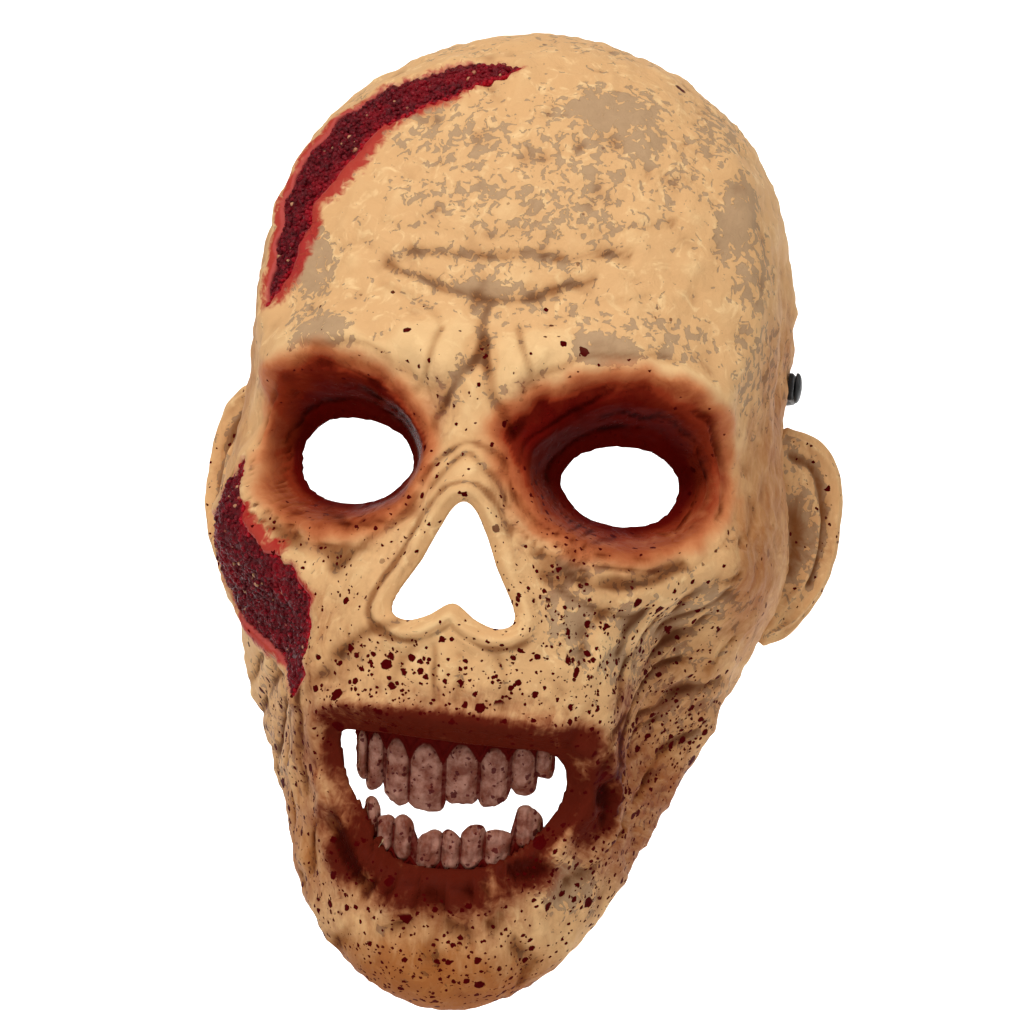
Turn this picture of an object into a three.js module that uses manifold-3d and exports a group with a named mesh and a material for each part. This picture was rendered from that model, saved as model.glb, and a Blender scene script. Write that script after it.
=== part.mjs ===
// Open-backed zombie face mask: one moulded skin from chin to crown with its ears, two rows of teeth
// seated behind the lips, two granular wound fills, and an elastic head strap on two rivets.
// Millimetres, +Z up. The face looks along -Y and +X is the wearer's left. The origin is the point
// on the inside of the nose bridge, on the eye line, where the mask sits on a head.
import * as THREE from "three";
import Module from "manifold-3d";
import { mergeVertices } from "three/addons/utils/BufferGeometryUtils.js";

const wasm = await Module();
wasm.setup();

// Face, seen from the front and from the side
const halfWidth = 82;
const crownHeight = 152;
const chinDrop = 127;
const poleDrop = 22;
const faceDepth = 98;
const reliefRise = 10;
const seatRise = 11;
const faceHeight = crownHeight + chinDrop;

// Skin
const wall = 2.4;
const gap = 0.3;

// Openings
const eyeSpacing = 75;
const eyeWidth = 33;
const eyeHeight = 24;
const socketDepth = 19;
const noseWidth = 29.2;
const noseHeight = 33;
const noseTop = 9;
const beadRise = 3.6;
const beadWidth = 3.2;
const mouthWidth = 61;
const mouthHeight = 36.5;
const mouthTop = 72;
const mouthShift = 2;
const lipRise = 3.2;
const lipWidth = 6;
const lipTuck = 3.5;

// Teeth
const toothThickness = 2.2;
const toothBulge = 1.5;
const gumSeat = 6;
const gumSetback = 1.2;
const gumShare = 0.4;
const toothRounding = 0.08;

// Wounds
const fillSink = 1.1;
const fillRise = 0.9;
const fillPlay = 0.5;
const woundLipRise = 1.6;

// Ears
const earHeight = 62;
const earReach = 17;
const earTop = 21;
const earThickness = 3.4;
const earRootDepth = 1.7;
const earRootShare = 0.5;
const earRootFlare = 0.25;

// Strap and rivets
const strapWidth = 8;
const strapThickness = 1.5;
const strapHeight = 34;
const strapReach = 104;
const rivetSetback = 4;
const rivetHeadDiameter = 9;
const rivetHeadHeight = 2;
const rivetShankDiameter = 4;
const rivetPlay = 1.4;

// Mesh fineness
const skinColumns = 40;
const skinRows = 43;
const frontDensity = 0.7;
const rivetSides = 10;

// Sections of the skin turned about the nose centre, from the chin (-90) by the cheek (0) to the
// crown (90). reach: outline, as a share of half width and height. side and rim: how far the widest
// line and the back edge lie behind the ear line, as shares of the face depth. square: how boxy.
const sectionStep = 15;
const sections = [
  { turn: -90, reach: 1.0, side: -0.63, square: 3.2, rim: -0.35 },
  { turn: -75, reach: 0.98, side: -0.6, square: 3.1, rim: -0.33 },
  { turn: -60, reach: 0.92, side: -0.53, square: 2.9, rim: -0.28 },
  { turn: -45, reach: 0.85, side: -0.43, square: 2.65, rim: -0.21 },
  { turn: -30, reach: 0.84, side: -0.33, square: 2.5, rim: -0.1 },
  { turn: -15, reach: 0.9, side: -0.25, square: 2.4, rim: 0.04 },
  { turn: 0, reach: 1.0, side: -0.2, square: 2.4, rim: 0.14 },
  { turn: 15, reach: 0.98, side: -0.21, square: 2.3, rim: 0.18 },
  { turn: 30, reach: 1.08, side: -0.18, square: 2.4, rim: 0.21 },
  { turn: 45, reach: 1.1, side: -0.14, square: 2.4, rim: 0.25 },
  { turn: 60, reach: 1.05, side: -0.09, square: 2.4, rim: 0.28 },
  { turn: 75, reach: 1.01, side: -0.06, square: 2.4, rim: 0.3 },
  { turn: 90, reach: 1.0, side: -0.04, square: 2.4, rim: 0.31 },
];

// Swellings and hollows. path: places in front view, x as a share of the half width and z of the
// face height, from the eye line. width: share of the half width. rise: share of the relief rise.
const swellings = [
  { name: "brow", path: [[0.16, 0.097], [0.41, 0.118], [0.7, 0.093]],
    width: 0.134, rise: 0.75, both: true },
  { name: "glabella", path: [[0, 0.093]], width: 0.16, rise: 0.3 },
  { name: "bridge", path: [[0, 0.065], [0, -0.014]], width: 0.12, rise: 0.5 },
  { name: "nose", path: [[0, -0.057], [0, -0.12]], width: 0.32, rise: 1.2 },
  { name: "muzzle", path: [[-0.27, -0.208], [0, -0.215], [0.27, -0.208]], width: 0.32, rise: 1.3 },
  { name: "lower jaw", path: [[-0.15, -0.373], [0.15, -0.373]], width: 0.32, rise: 0.3 },
  { name: "chin", path: [[-0.1, -0.48], [0.1, -0.48]], width: 0.2, rise: 0.5 },
  { name: "cheekbone", path: [[0.32, -0.093], [0.56, -0.1], [0.8, -0.075]],
    width: 0.16, rise: 0.6, both: true },
  { name: "left cheek hollow", path: [[0.69, -0.15], [0.66, -0.25]], width: 0.21, rise: -0.85 },
  { name: "right cheek hollow", path: [[-0.61, -0.19], [-0.64, -0.24]], width: 0.21, rise: -0.3 },
  { name: "jaw edge", path: [[0.78, -0.237], [0.61, -0.366], [0.37, -0.466]],
    width: 0.13, rise: 0.3, both: true },
  { name: "temple hollow", path: [[0.95, 0.222], [0.96, 0.13]],
    width: 0.18, rise: -0.5, both: true },
  { name: "temple line", path: [[0.73, 0.315], [0.82, 0.208], [0.8, 0.13]],
    width: 0.1, rise: 0.25, both: true },
  { name: "mouth fold", path: [[0.27, -0.158], [0.46, -0.215], [0.52, -0.3]],
    width: 0.09, rise: 0.25, both: true },
  { name: "frown line", path: [[0.02, 0.15], [0.05, 0.09], [0.13, 0.045]],
    width: 0.045, rise: -0.22, both: true },
  { name: "brow crease", path: [[-0.38, 0.195], [-0.08, 0.163], [0.32, 0.196]], width: 0.045, rise: -0.2 },
  { name: "forehead crease", path: [[-0.32, 0.211], [0.08, 0.212], [0.41, 0.223]],
    width: 0.045, rise: -0.15 },
  { name: "cheek fold", path: [[0.84, -0.19], [0.73, -0.23], [0.63, -0.25]],
    width: 0.05, rise: -0.25, both: true },
];

// Outlines of the openings, in shares of each one's own width and height. The eye's and the
// socket's are from the eye centre, the nose's (one half) and the mouth's from the top middle.
const eyeOutline = [
  [-0.51, -0.06], [-0.415, 0.27], [-0.21, 0.425], [0.03, 0.475], [0.29, 0.4],
  [0.475, 0.125], [0.435, -0.23], [0.26, -0.45], [-0.03, -0.525], [-0.32, -0.415],
];
const socketOutline = [
  [-0.76, 0.08], [-0.62, 0.5], [-0.35, 0.81], [0.045, 1.0], [0.5, 0.875], [0.78, 0.375],
  [0.8, -0.25], [0.58, -0.66], [0.2, -0.83], [-0.23, -0.77], [-0.62, -0.46],
];
const noseHalfOutline = [
  [0, 0], [0.127, -0.075], [0.25, -0.3], [0.364, -0.54], [0.497, -0.81],
  [0.49, -0.945], [0.364, -1.0], [0.197, -0.937], [0, -0.826],
];
const mouthOutline = [
  [-0.5, -0.04], [-0.36, 0], [-0.165, -0.005], [0.033, -0.015], [0.23, -0.015], [0.393, -0.03],
  [0.484, -0.165], [0.5, -0.385], [0.443, -0.6], [0.328, -0.81], [0.164, -0.96], [-0.033, -1.0],
  [-0.197, -0.985], [-0.32, -0.877], [-0.4, -0.66], [-0.49, -0.466], [-0.516, -0.247],
];

// Teeth: middle and width as shares of the mouth width, tip as a share of the mouth height below
// its top.
const upperTeeth = [
  { middle: -0.418, width: 0.045, tip: 0.38 },
  { middle: -0.357, width: 0.075, tip: 0.46 },
  { middle: -0.254, width: 0.11, tip: 0.55 },
  { middle: -0.121, width: 0.155, tip: 0.62 },
  { middle: 0.038, width: 0.148, tip: 0.54 },
  { middle: 0.18, width: 0.125, tip: 0.505 },
  { middle: 0.305, width: 0.105, tip: 0.36 },
  { middle: 0.393, width: 0.07, tip: 0.27 },
];
const lowerTeeth = [
  { middle: -0.362, width: 0.06, tip: 0.55 },
  { middle: -0.298, width: 0.074, tip: 0.62 },
  { middle: -0.213, width: 0.085, tip: 0.67 },
  { middle: -0.09, width: 0.115, tip: 0.73 },
  { middle: 0.008, width: 0.085, tip: 0.71 },
  { middle: 0.103, width: 0.1, tip: 0.67 },
  { middle: 0.215, width: 0.115, tip: 0.64 },
  { middle: 0.341, width: 0.11, tip: 0.49 },
];

// Wounds: centre lines in front view with the half width on the way, x and half as shares of the
// half width, z of the face height.
const scalpGash = [
  { x: -0.045, z: 0.405, half: 0.01 },
  { x: -0.213, z: 0.392, half: 0.08 },
  { x: -0.366, z: 0.374, half: 0.095 },
  { x: -0.51, z: 0.344, half: 0.097 },
  { x: -0.63, z: 0.308, half: 0.092 },
  { x: -0.71, z: 0.254, half: 0.08 },
  { x: -0.75, z: 0.2, half: 0.055 },
  { x: -0.77, z: 0.15, half: 0.012 },
];
const cheekWound = [
  { x: -0.838, z: -0.013, half: 0.03 },
  { x: -0.857, z: -0.037, half: 0.052 },
  { x: -0.863, z: -0.062, half: 0.11 },
  { x: -0.815, z: -0.104, half: 0.222 },
  { x: -0.685, z: -0.142, half: 0.235 },
  { x: -0.58, z: -0.19, half: 0.165 },
  { x: -0.485, z: -0.229, half: 0.03 },
];

// Rolled rim and hollow of the ear across its width from the root: place and width as shares of it,
// rise as a share of the ear thickness
const earFolds = [
  { name: "rim", place: 0.9, width: 0.14, rise: 0.35 },
  { name: "hollow", place: 0.5, width: 0.2, rise: -0.3 },
];

// Ear rows from the lobe to the top. rootUp and edgeUp: share of the ear height above its foot.
// rootBack and edgeBack: behind the ear line, edgeOut: from the root, as shares of the ear reach.
const earRows = [
  { rootUp: 0.07, rootBack: -0.7, edgeUp: 0.0, edgeOut: 0.06, edgeBack: -0.6 },
  { rootUp: 0.18, rootBack: -0.52, edgeUp: 0.07, edgeOut: 0.32, edgeBack: -0.25 },
  { rootUp: 0.37, rootBack: -0.3, edgeUp: 0.31, edgeOut: 0.72, edgeBack: 0.3 },
  { rootUp: 0.6, rootBack: -0.12, edgeUp: 0.6, edgeOut: 0.95, edgeBack: 0.7 },
  { rootUp: 0.78, rootBack: 0.0, edgeUp: 0.81, edgeOut: 1.0, edgeBack: 0.8 },
  { rootUp: 0.88, rootBack: 0.06, edgeUp: 0.95, edgeOut: 0.72, edgeBack: 0.6 },
  { rootUp: 0.93, rootBack: 0.1, edgeUp: 1.0, edgeOut: 0.18, edgeBack: 0.25 },
];

const poleZ = -poleDrop;
const frontY = -faceDepth;
const openingBack = frontY / 4;

function clamp(value, low, high) {
  return Math.min(high, Math.max(low, value));
}

function ease(value) {
  const t = clamp(value, 0, 1);
  return t * t * (3 - 2 * t);
}

function bell(value) {
  return Math.exp(-value * value);
}

// Cubic through four even values
function cubic(a, b, c, d, t) {
  return 0.5 * (2 * b + (c - a) * t + (2 * a - 5 * b + 4 * c - d) * t * t
    + (3 * b - a - 3 * c + d) * t * t * t);
}

// Section values at a turn about the nose centre, the same on both sides of the face
function sectionAt(turn) {
  const degrees = THREE.MathUtils.radToDeg(Math.asin(clamp(Math.sin(turn), -1, 1)));
  const place = (degrees - sections[0].turn) / sectionStep;
  const last = sections.length - 1;
  const index = clamp(Math.floor(place), 0, last - 1);
  const row = (i) => sections[i < 0 ? -i : i > last ? 2 * last - i : i];
  const value = (key) => cubic(row(index - 1)[key], row(index)[key], row(index + 1)[key],
    row(index + 2)[key], place - index);
  return { reach: value("reach"), square: value("square"),
    side: value("side") * faceDepth, rim: value("rim") * faceDepth };
}

// Front-view direction of a turn, in mm for a reach of 1
function spoke(turn) {
  const up = Math.sin(turn);
  return { x: halfWidth * Math.cos(turn), z: up * (up > 0 ? crownHeight : chinDrop) };
}

function sectionSizes(turn) {
  const section = sectionAt(turn);
  const direction = spoke(turn);
  const radius = section.reach * Math.hypot(direction.x, direction.z);
  const front = section.side - frontY;
  const back = Math.max(radius, front);
  const behind = section.rim - section.side;
  const deep = behind > 0 ? back : front;
  const square = section.square;
  const rimRadius = radius * (1 - Math.abs(behind / deep) ** square) ** (1 / square);
  return { ...section, direction, radius, front, back,
    rimAngle: Math.PI / 2 + Math.atan2(behind, rimRadius) };
}

// Base point at a turn about the nose centre and a share of the way to the back edge: a boxy
// ellipse from the front, deep before its widest line and as deep as wide behind it
function basePoint(turn, share) {
  const size = sectionSizes(turn);
  const angle = share * size.rimAngle;
  const deep = Math.cos(angle) > 0 ? size.front : size.back;
  const radius = (Math.abs(Math.sin(angle) / size.radius) ** size.square
    + Math.abs(Math.cos(angle) / deep) ** size.square) ** (-1 / size.square);
  const out = radius * Math.sin(angle) / Math.hypot(size.direction.x, size.direction.z);
  return new THREE.Vector3(out * size.direction.x, size.side - radius * Math.cos(angle),
    poleZ + out * size.direction.z);
}

// Turn and share of a front-view place, kept just inside the outline
const outlineLimit = 0.9995;
function placeOnFace(x, z) {
  const up = z - poleZ;
  const turn = Math.atan2(up / (up > 0 ? crownHeight : chinDrop), x / halfWidth);
  const size = sectionSizes(turn);
  const ratio = Math.min(Math.hypot(x, up) / size.radius, outlineLimit);
  const depth = size.front * (1 - ratio ** size.square) ** (1 / size.square);
  return { turn, share: Math.atan2(ratio * size.radius, depth) / size.rimAngle };
}

function frontPoint(x, z) {
  const place = placeOnFace(x, z);
  return basePoint(place.turn, place.share);
}

// Point on the side of the head at a depth and a height, its turn found step by step
const sidePasses = 8;
function sidePoint(side, y, z) {
  const up = z - poleZ;
  const rise = up / (up > 0 ? crownHeight : chinDrop);
  let turn = Math.asin(clamp(rise, -1, 1));
  let radius = 1;
  for (let pass = 0; pass < sidePasses; pass += 1) {
    const size = sectionSizes(turn);
    const deep = y > size.side ? size.back : size.front;
    radius = size.reach * (1 - Math.abs((y - size.side) / deep) ** size.square) ** (1 / size.square);
    turn = Math.asin(clamp(rise / radius, -1, 1));
  }
  return new THREE.Vector3(side * radius * halfWidth * Math.cos(turn), y, z);
}

function smoothLine(points, steps, closed) {
  const last = points.length - 1;
  if (points.length < 2) return points;
  const at = (i) => {
    if (closed) return points[(i + points.length) % points.length];
    if (i < 0) return points[0].map((v, k) => 2 * v - points[1][k]);
    if (i > last) return points[last].map((v, k) => 2 * v - points[last - 1][k]);
    return points[i];
  };
  const line = [];
  for (let i = 0; i < (closed ? points.length : last); i += 1) {
    for (let step = 0; step < steps; step += 1) {
      line.push(points[0].map((_, k) => cubic(at(i - 1)[k], at(i)[k], at(i + 1)[k], at(i + 2)[k],
        step / steps)));
    }
  }
  if (!closed) line.push(points[last]);
  return line;
}

// Distance from a point to a line of points in space
function distanceToLine(point, line) {
  let best = point.distanceTo(line[0]);
  const segment = new THREE.Line3();
  const nearest = new THREE.Vector3();
  for (let i = 0; i + 1 < line.length; i += 1) {
    segment.set(line[i], line[i + 1]);
    segment.closestPointToPoint(point, true, nearest);
    best = Math.min(best, point.distanceTo(nearest));
  }
  return best;
}

// Nearest place to a point on a closed outline in front view
function nearestOnOutline(x, z, outline) {
  let best = { distance: Infinity };
  outline.forEach(([ax, az], i) => {
    const [bx, bz] = outline[(i + 1) % outline.length];
    const along = (x - ax) * (bx - ax) + (z - az) * (bz - az);
    const t = clamp(along / ((bx - ax) ** 2 + (bz - az) ** 2), 0, 1);
    const foot = [ax + t * (bx - ax), az + t * (bz - az)];
    const distance = Math.hypot(x - foot[0], z - foot[1]);
    if (distance < best.distance) best = { distance, foot };
  });
  return best;
}

// Distance in front view to a closed outline, negative inside it
function outlineDistance(x, z, outline) {
  const crossed = outline.filter(([ax, az], i) => {
    const [bx, bz] = outline[(i + 1) % outline.length];
    return az > z !== bz > z && x < ax + ((bx - ax) * (z - az)) / (bz - az);
  });
  const { distance } = nearestOnOutline(x, z, outline);
  return crossed.length % 2 === 1 ? -distance : distance;
}

const outlineSteps = 4;
const openingOutlines = [];
const sockets = [];
for (const side of [1, -1]) {
  const place = ([x, z]) => [side * (eyeSpacing / 2 + x * eyeWidth), z * eyeHeight];
  const eye = smoothLine(eyeOutline.map(place), outlineSteps, true);
  openingOutlines.push(eye);
  sockets.push({ eye, rim: smoothLine(socketOutline.map(place), outlineSteps, true) });
}
const noseOtherHalf = noseHalfOutline.slice(1, -1).reverse().map(([x, z]) => [-x, z]);
const nose = smoothLine([...noseHalfOutline, ...noseOtherHalf]
  .map(([x, z]) => [x * noseWidth, z * noseHeight - noseTop]), outlineSteps, true);
const mouth = smoothLine(mouthOutline
  .map(([x, z]) => [x * mouthWidth + mouthShift, z * mouthHeight - mouthTop]), outlineSteps, true);
openingOutlines.push(nose, mouth);

const swellingLines = swellings.flatMap((row) => (row.both ? [1, -1] : [1]).map((side) => ({
  line: smoothLine(row.path, outlineSteps, false)
    .map(([x, z]) => frontPoint(side * x * halfWidth, z * faceHeight)),
  width: row.width * halfWidth,
  rise: row.rise * reliefRise,
})));

const woundSteps = 3;
function woundLine(rows) {
  return smoothLine(rows.map((row) => [row.x * halfWidth, row.z * faceHeight, row.half * halfWidth]),
    woundSteps, false);
}

const woundLines = [scalpGash, cheekWound].map((rows) => woundLine(rows)
  .map(([x, z, half]) => ({ centre: frontPoint(x, z), half })));

// Distance from the edge of the nearest wound, negative inside it
function woundDistance(point) {
  let best = Infinity;
  for (const line of woundLines) {
    for (const { centre, half } of line) best = Math.min(best, point.distanceTo(centre) - half);
  }
  return best;
}

// Rise of the skin over its base along the base's normal, and forward, at a base point
function relief(point) {
  let out = 0;
  for (const { line, width, rise } of swellingLines) {
    out += rise * bell(distanceToLine(point, line) / width);
  }
  out += woundLipRise * bell((woundDistance(point) - woundLipRise) / (2 * woundLipRise));
  let forward = 0;
  if (point.y > openingBack) return { out, forward };
  for (const { eye, rim } of sockets) {
    const fromEye = Math.max(outlineDistance(point.x, point.z, eye), 0);
    const fromRim = -outlineDistance(point.x, point.z, rim);
    if (fromRim > 0) forward -= socketDepth * (1 - ease(fromEye / (fromEye + fromRim)));
  }
  const fromNose = outlineDistance(point.x, point.z, nose);
  forward += beadRise * bell((fromNose - beadWidth) / beadWidth);
  const fromMouth = outlineDistance(point.x, point.z, mouth);
  forward += lipRise * bell((fromMouth - lipWidth) / lipTuck);
  forward -= lipTuck * bell(Math.max(fromMouth, 0) / lipTuck);
  return { out, forward };
}

// Normals of a grid of points by the neighbours' differences
function gridNormals(grid) {
  return grid.map((row, j) => row.map((_, i) => {
    const across = grid[j][Math.min(i + 1, row.length - 1)].clone().sub(grid[j][Math.max(i - 1, 0)]);
    const up = grid[Math.min(j + 1, grid.length - 1)][i].clone().sub(grid[Math.max(j - 1, 0)][i]);
    return across.cross(up).normalize();
  }));
}

// Closed wall between two grids of points that face the same way. Open cells are left out, and the
// others are split along their shorter diagonal unless a cell asks for one of its own.
function wallGeometry(front, back, isOpen = () => false, diagonal = () => 0) {
  const columns = front[0].length;
  const count = front.length * columns;
  const faces = [];
  for (let j = 0; j + 1 < front.length; j += 1) {
    for (let i = 0; i + 1 < columns; i += 1) {
      const corners = [[j, i], [j, i + 1], [j + 1, i + 1], [j + 1, i]];
      const index = corners.map(([row, column]) => row * columns + column);
      const [p, q, r, s] = corners.map(([row, column]) => front[row][column]);
      const lean = diagonal(corners) || q.distanceTo(s) - p.distanceTo(r);
      const pair = lean < 0 ? [[0, 1, 3], [1, 2, 3]] : [[0, 1, 2], [0, 2, 3]];
      for (const trio of pair) {
        if (!isOpen(trio.map((k) => corners[k]))) faces.push(trio.map((k) => index[k]));
      }
    }
  }
  const edges = new Set(faces.flatMap(([a, b, c]) => [`${a} ${b}`, `${b} ${c}`, `${c} ${a}`]));
  const triangles = faces.flatMap(([a, b, c]) => [a, b, c, a + count, c + count, b + count]);
  for (const edge of edges) {
    const [a, b] = edge.split(" ").map(Number);
    if (!edges.has(`${b} ${a}`)) triangles.push(b, a, a + count, b, a + count, b + count);
  }
  const geometry = new THREE.BufferGeometry();
  const positions = [...front.flat(), ...back.flat()].flatMap((p) => [p.x, p.y, p.z]);
  geometry.setAttribute("position", new THREE.Float32BufferAttribute(positions, 3));
  geometry.setIndex(triangles);
  return geometry;
}

// Places are held in a flat chart of the base: the share of the way to the back edge, laid out along
// the turn about the nose centre
function fromChart([across, up]) {
  return basePoint(Math.atan2(up, across), Math.hypot(across, up));
}

function toChart(x, z) {
  const { turn, share } = placeOnFace(x, z);
  return [share * Math.cos(turn), share * Math.sin(turn)];
}

// Grid over the face: a square bent to a disc, its lines closer on the face than on the sides
const sidePower = 5;
function faceChart() {
  return Array.from({ length: skinRows }, (_, j) => {
    const b = (2 * j) / (skinRows - 1) - 1;
    return Array.from({ length: skinColumns }, (__, i) => {
      const a = (2 * i) / (skinColumns - 1) - 1;
      const across = a * Math.sqrt(1 - (b * b) / 2);
      const up = b * Math.sqrt(1 - (a * a) / 2);
      const pull = THREE.MathUtils.lerp(Math.hypot(across, up) ** (sidePower - 1), 1, frontDensity);
      return [across * pull, up * pull];
    });
  });
}

function nearestOpening(place) {
  const point = fromChart(place);
  if (point.y > openingBack) return { distance: Infinity };
  let best = { distance: Infinity };
  for (const outline of openingOutlines) {
    const distance = outlineDistance(point.x, point.z, outline);
    if (distance < best.distance) best = { distance, outline };
  }
  return best;
}

// Marks the grid points next to an opening that its edge goes through, so that cells end there
function markOpenings(grid) {
  const near = grid.map((row) => row.map(nearestOpening));
  const test = (one, two) => {
    if (!two || one.distance < 0 === two.distance < 0) return;
    (Math.abs(one.distance) < Math.abs(two.distance) ? one : two).onEdge = true;
  };
  near.forEach((row, j) => row.forEach((item, i) => {
    test(item, row[i + 1]);
    test(item, near[j + 1]?.[i]);
  }));
  return near;
}

// Evens out the grid: points move towards the middle of their neighbours, those on an opening's edge
// along that edge and the others freely, while the back edge stays
const evenPasses = 12;
function evenGrid(start, near) {
  let grid = start;
  for (let pass = 0; pass < evenPasses; pass += 1) {
    grid = grid.map((row, j) => row.map((place, i) => {
      if (j === 0 || i === 0 || j === skinRows - 1 || i === skinColumns - 1) return place;
      const around = [grid[j][i - 1], grid[j][i + 1], grid[j - 1][i], grid[j + 1][i]];
      const middle = [0, 1].map((k) => around.reduce((sum, other) => sum + other[k], 0) / 4);
      if (!near[j][i].onEdge) return middle.map((value, k) => (value + place[k]) / 2);
      const point = fromChart(middle);
      return toChart(...nearestOnOutline(point.x, point.z, near[j][i].outline).foot);
    }));
  }
  return grid;
}

const startChart = faceChart();
const nearOpenings = markOpenings(startChart);
const skinSigns = nearOpenings
  .map((row) => row.map((item) => (item.onEdge ? 0 : Math.sign(item.distance))));
const skinGrid = evenGrid(startChart, nearOpenings).map((row) => row.map(fromChart));
const baseNormals = gridNormals(skinGrid);
const outerGrid = skinGrid.map((row, j) => row.map((point, i) => raised(point, baseNormals[j][i])));
const outerNormals = gridNormals(outerGrid);

function raised(point, normal) {
  const { out, forward } = relief(point);
  return point.clone().addScaledVector(normal, out).add(new THREE.Vector3(0, -forward, 0));
}

function inset(grid, normalGrid, depth) {
  return grid.map((row, j) => row
    .map((point, i) => point.clone().addScaledVector(normalGrid[j][i], -depth)));
}

function skinGeometry(thickness) {
  const sign = ([j, i]) => skinSigns[j][i];
  const unlike = (one, two) => Math.abs(sign(one) - sign(two));
  return wallGeometry(outerGrid, inset(outerGrid, outerNormals, thickness),
    (corners) => corners.every((corner) => sign(corner) <= 0),
    ([a, b, c, d]) => unlike(b, d) - unlike(a, c));
}

const mergeReach = 1e-4;
function toSolid(geometry) {
  const bare = geometry.clone();
  bare.deleteAttribute("normal");
  bare.deleteAttribute("uv");
  const merged = mergeVertices(bare, mergeReach);
  const triangles = [];
  for (let i = 0; i < merged.index.count; i += 3) {
    const [a, b, c] = merged.index.array.slice(i, i + 3);
    if (a !== b && b !== c && c !== a) triangles.push(a, b, c);
  }
  return new wasm.Manifold(new wasm.Mesh({
    numProp: 3,
    vertProperties: new Float32Array(merged.attributes.position.array),
    triVerts: new Uint32Array(triangles),
  }));
}

function toGeometry(solid) {
  const mesh = solid.getMesh();
  const geometry = new THREE.BufferGeometry();
  const positions = new Float32Array(mesh.vertProperties);
  geometry.setAttribute("position", new THREE.BufferAttribute(positions, 3));
  geometry.setIndex([...mesh.triVerts]);
  geometry.computeVertexNormals();
  return geometry;
}

// Band along a wound's centre line, from below to above the skin, wider by grow on every side
const woundRows = 5;
function woundGeometry(rows, below, above, grow) {
  const line = woundLine(rows);
  const grid = line.map(([x, z, half], j) => {
    const before = line[Math.max(j - 1, 0)];
    const after = line[Math.min(j + 1, line.length - 1)];
    const along = frontPoint(after[0], after[1]).sub(frontPoint(before[0], before[1])).normalize();
    const centre = frontPoint(x, z);
    const normal = faceNormal(x, z);
    const across = along.clone().cross(normal).normalize();
    const end = j === 0 ? -grow : j === line.length - 1 ? grow : 0;
    const place = centre.clone().addScaledVector(along, end);
    const row = [];
    for (let i = 0; i < woundRows; i += 1) {
      const t = (2 * i) / (woundRows - 1) - 1;
      row.push(dropToFace(place.clone().addScaledVector(across, t * (half + grow))));
    }
    return row;
  });
  const flipped = gridNormals(grid)[1][1].dot(faceNormal(line[1][0], line[1][1])) < 0;
  const ordered = flipped ? grid.map((row) => [...row].reverse()) : grid;
  const normals = gridNormals(ordered);
  const skin = ordered.map((row, j) => row.map((point, i) => raised(point, normals[j][i])));
  return wallGeometry(inset(skin, normals, -above), inset(skin, normals, below));
}

function faceNormal(x, z) {
  const step = 0.5;
  const across = frontPoint(x + step, z).sub(frontPoint(x - step, z));
  const up = frontPoint(x, z + step).sub(frontPoint(x, z - step));
  return across.cross(up).normalize();
}

// Nearest place of the base to a point close to it: along the line to the section's centre
function dropToFace(point) {
  const up = point.z - poleZ;
  const turn = Math.atan2(up / (up > 0 ? crownHeight : chinDrop), point.x / halfWidth);
  const size = sectionSizes(turn);
  const angle = Math.PI / 2 + Math.atan2(point.y - size.side, Math.hypot(point.x, up));
  return basePoint(turn, angle / size.rimAngle);
}

// Depth of the skin's inner face at a front-view place, on its own facets
const innerGrid = inset(outerGrid, outerNormals, wall);
const facet = new THREE.Triangle();
const flatPoint = new THREE.Vector3();
const shares = new THREE.Vector3();
function innerDepth(x, z) {
  flatPoint.set(x, 0, z);
  for (let j = 0; j + 1 < skinRows; j += 1) {
    for (let i = 0; i + 1 < skinColumns; i += 1) {
      const corners = [[j, i], [j, i + 1], [j + 1, i + 1], [j + 1, i]]
        .map(([row, column]) => innerGrid[row][column]);
      if (corners[0].y > openingBack) continue;
      for (const trio of [[0, 1, 2], [0, 2, 3]]) {
        const points = trio.map((k) => corners[k]);
        facet.set(...points.map((p) => new THREE.Vector3(p.x, 0, p.z)));
        if (!facet.containsPoint(flatPoint)) continue;
        facet.getBarycoord(flatPoint, shares);
        return points[0].y * shares.x + points[1].y * shares.y + points[2].y * shares.z;
      }
    }
  }
  return frontPoint(x, z).y + wall;
}

// Height of the mouth's upper or lower edge at a place across it
function mouthEdge(x, upper) {
  const heights = mouth.map(([ax, az], i) => {
    const [bx, bz] = mouth[(i + 1) % mouth.length];
    return (ax <= x) === (bx <= x) ? null : az + ((bz - az) * (x - ax)) / (bx - ax);
  }).filter((height) => height !== null);
  const middle = -mouthTop - mouthHeight / 2;
  return heights.length === 0 ? middle : upper ? Math.max(...heights) : Math.min(...heights);
}

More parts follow.
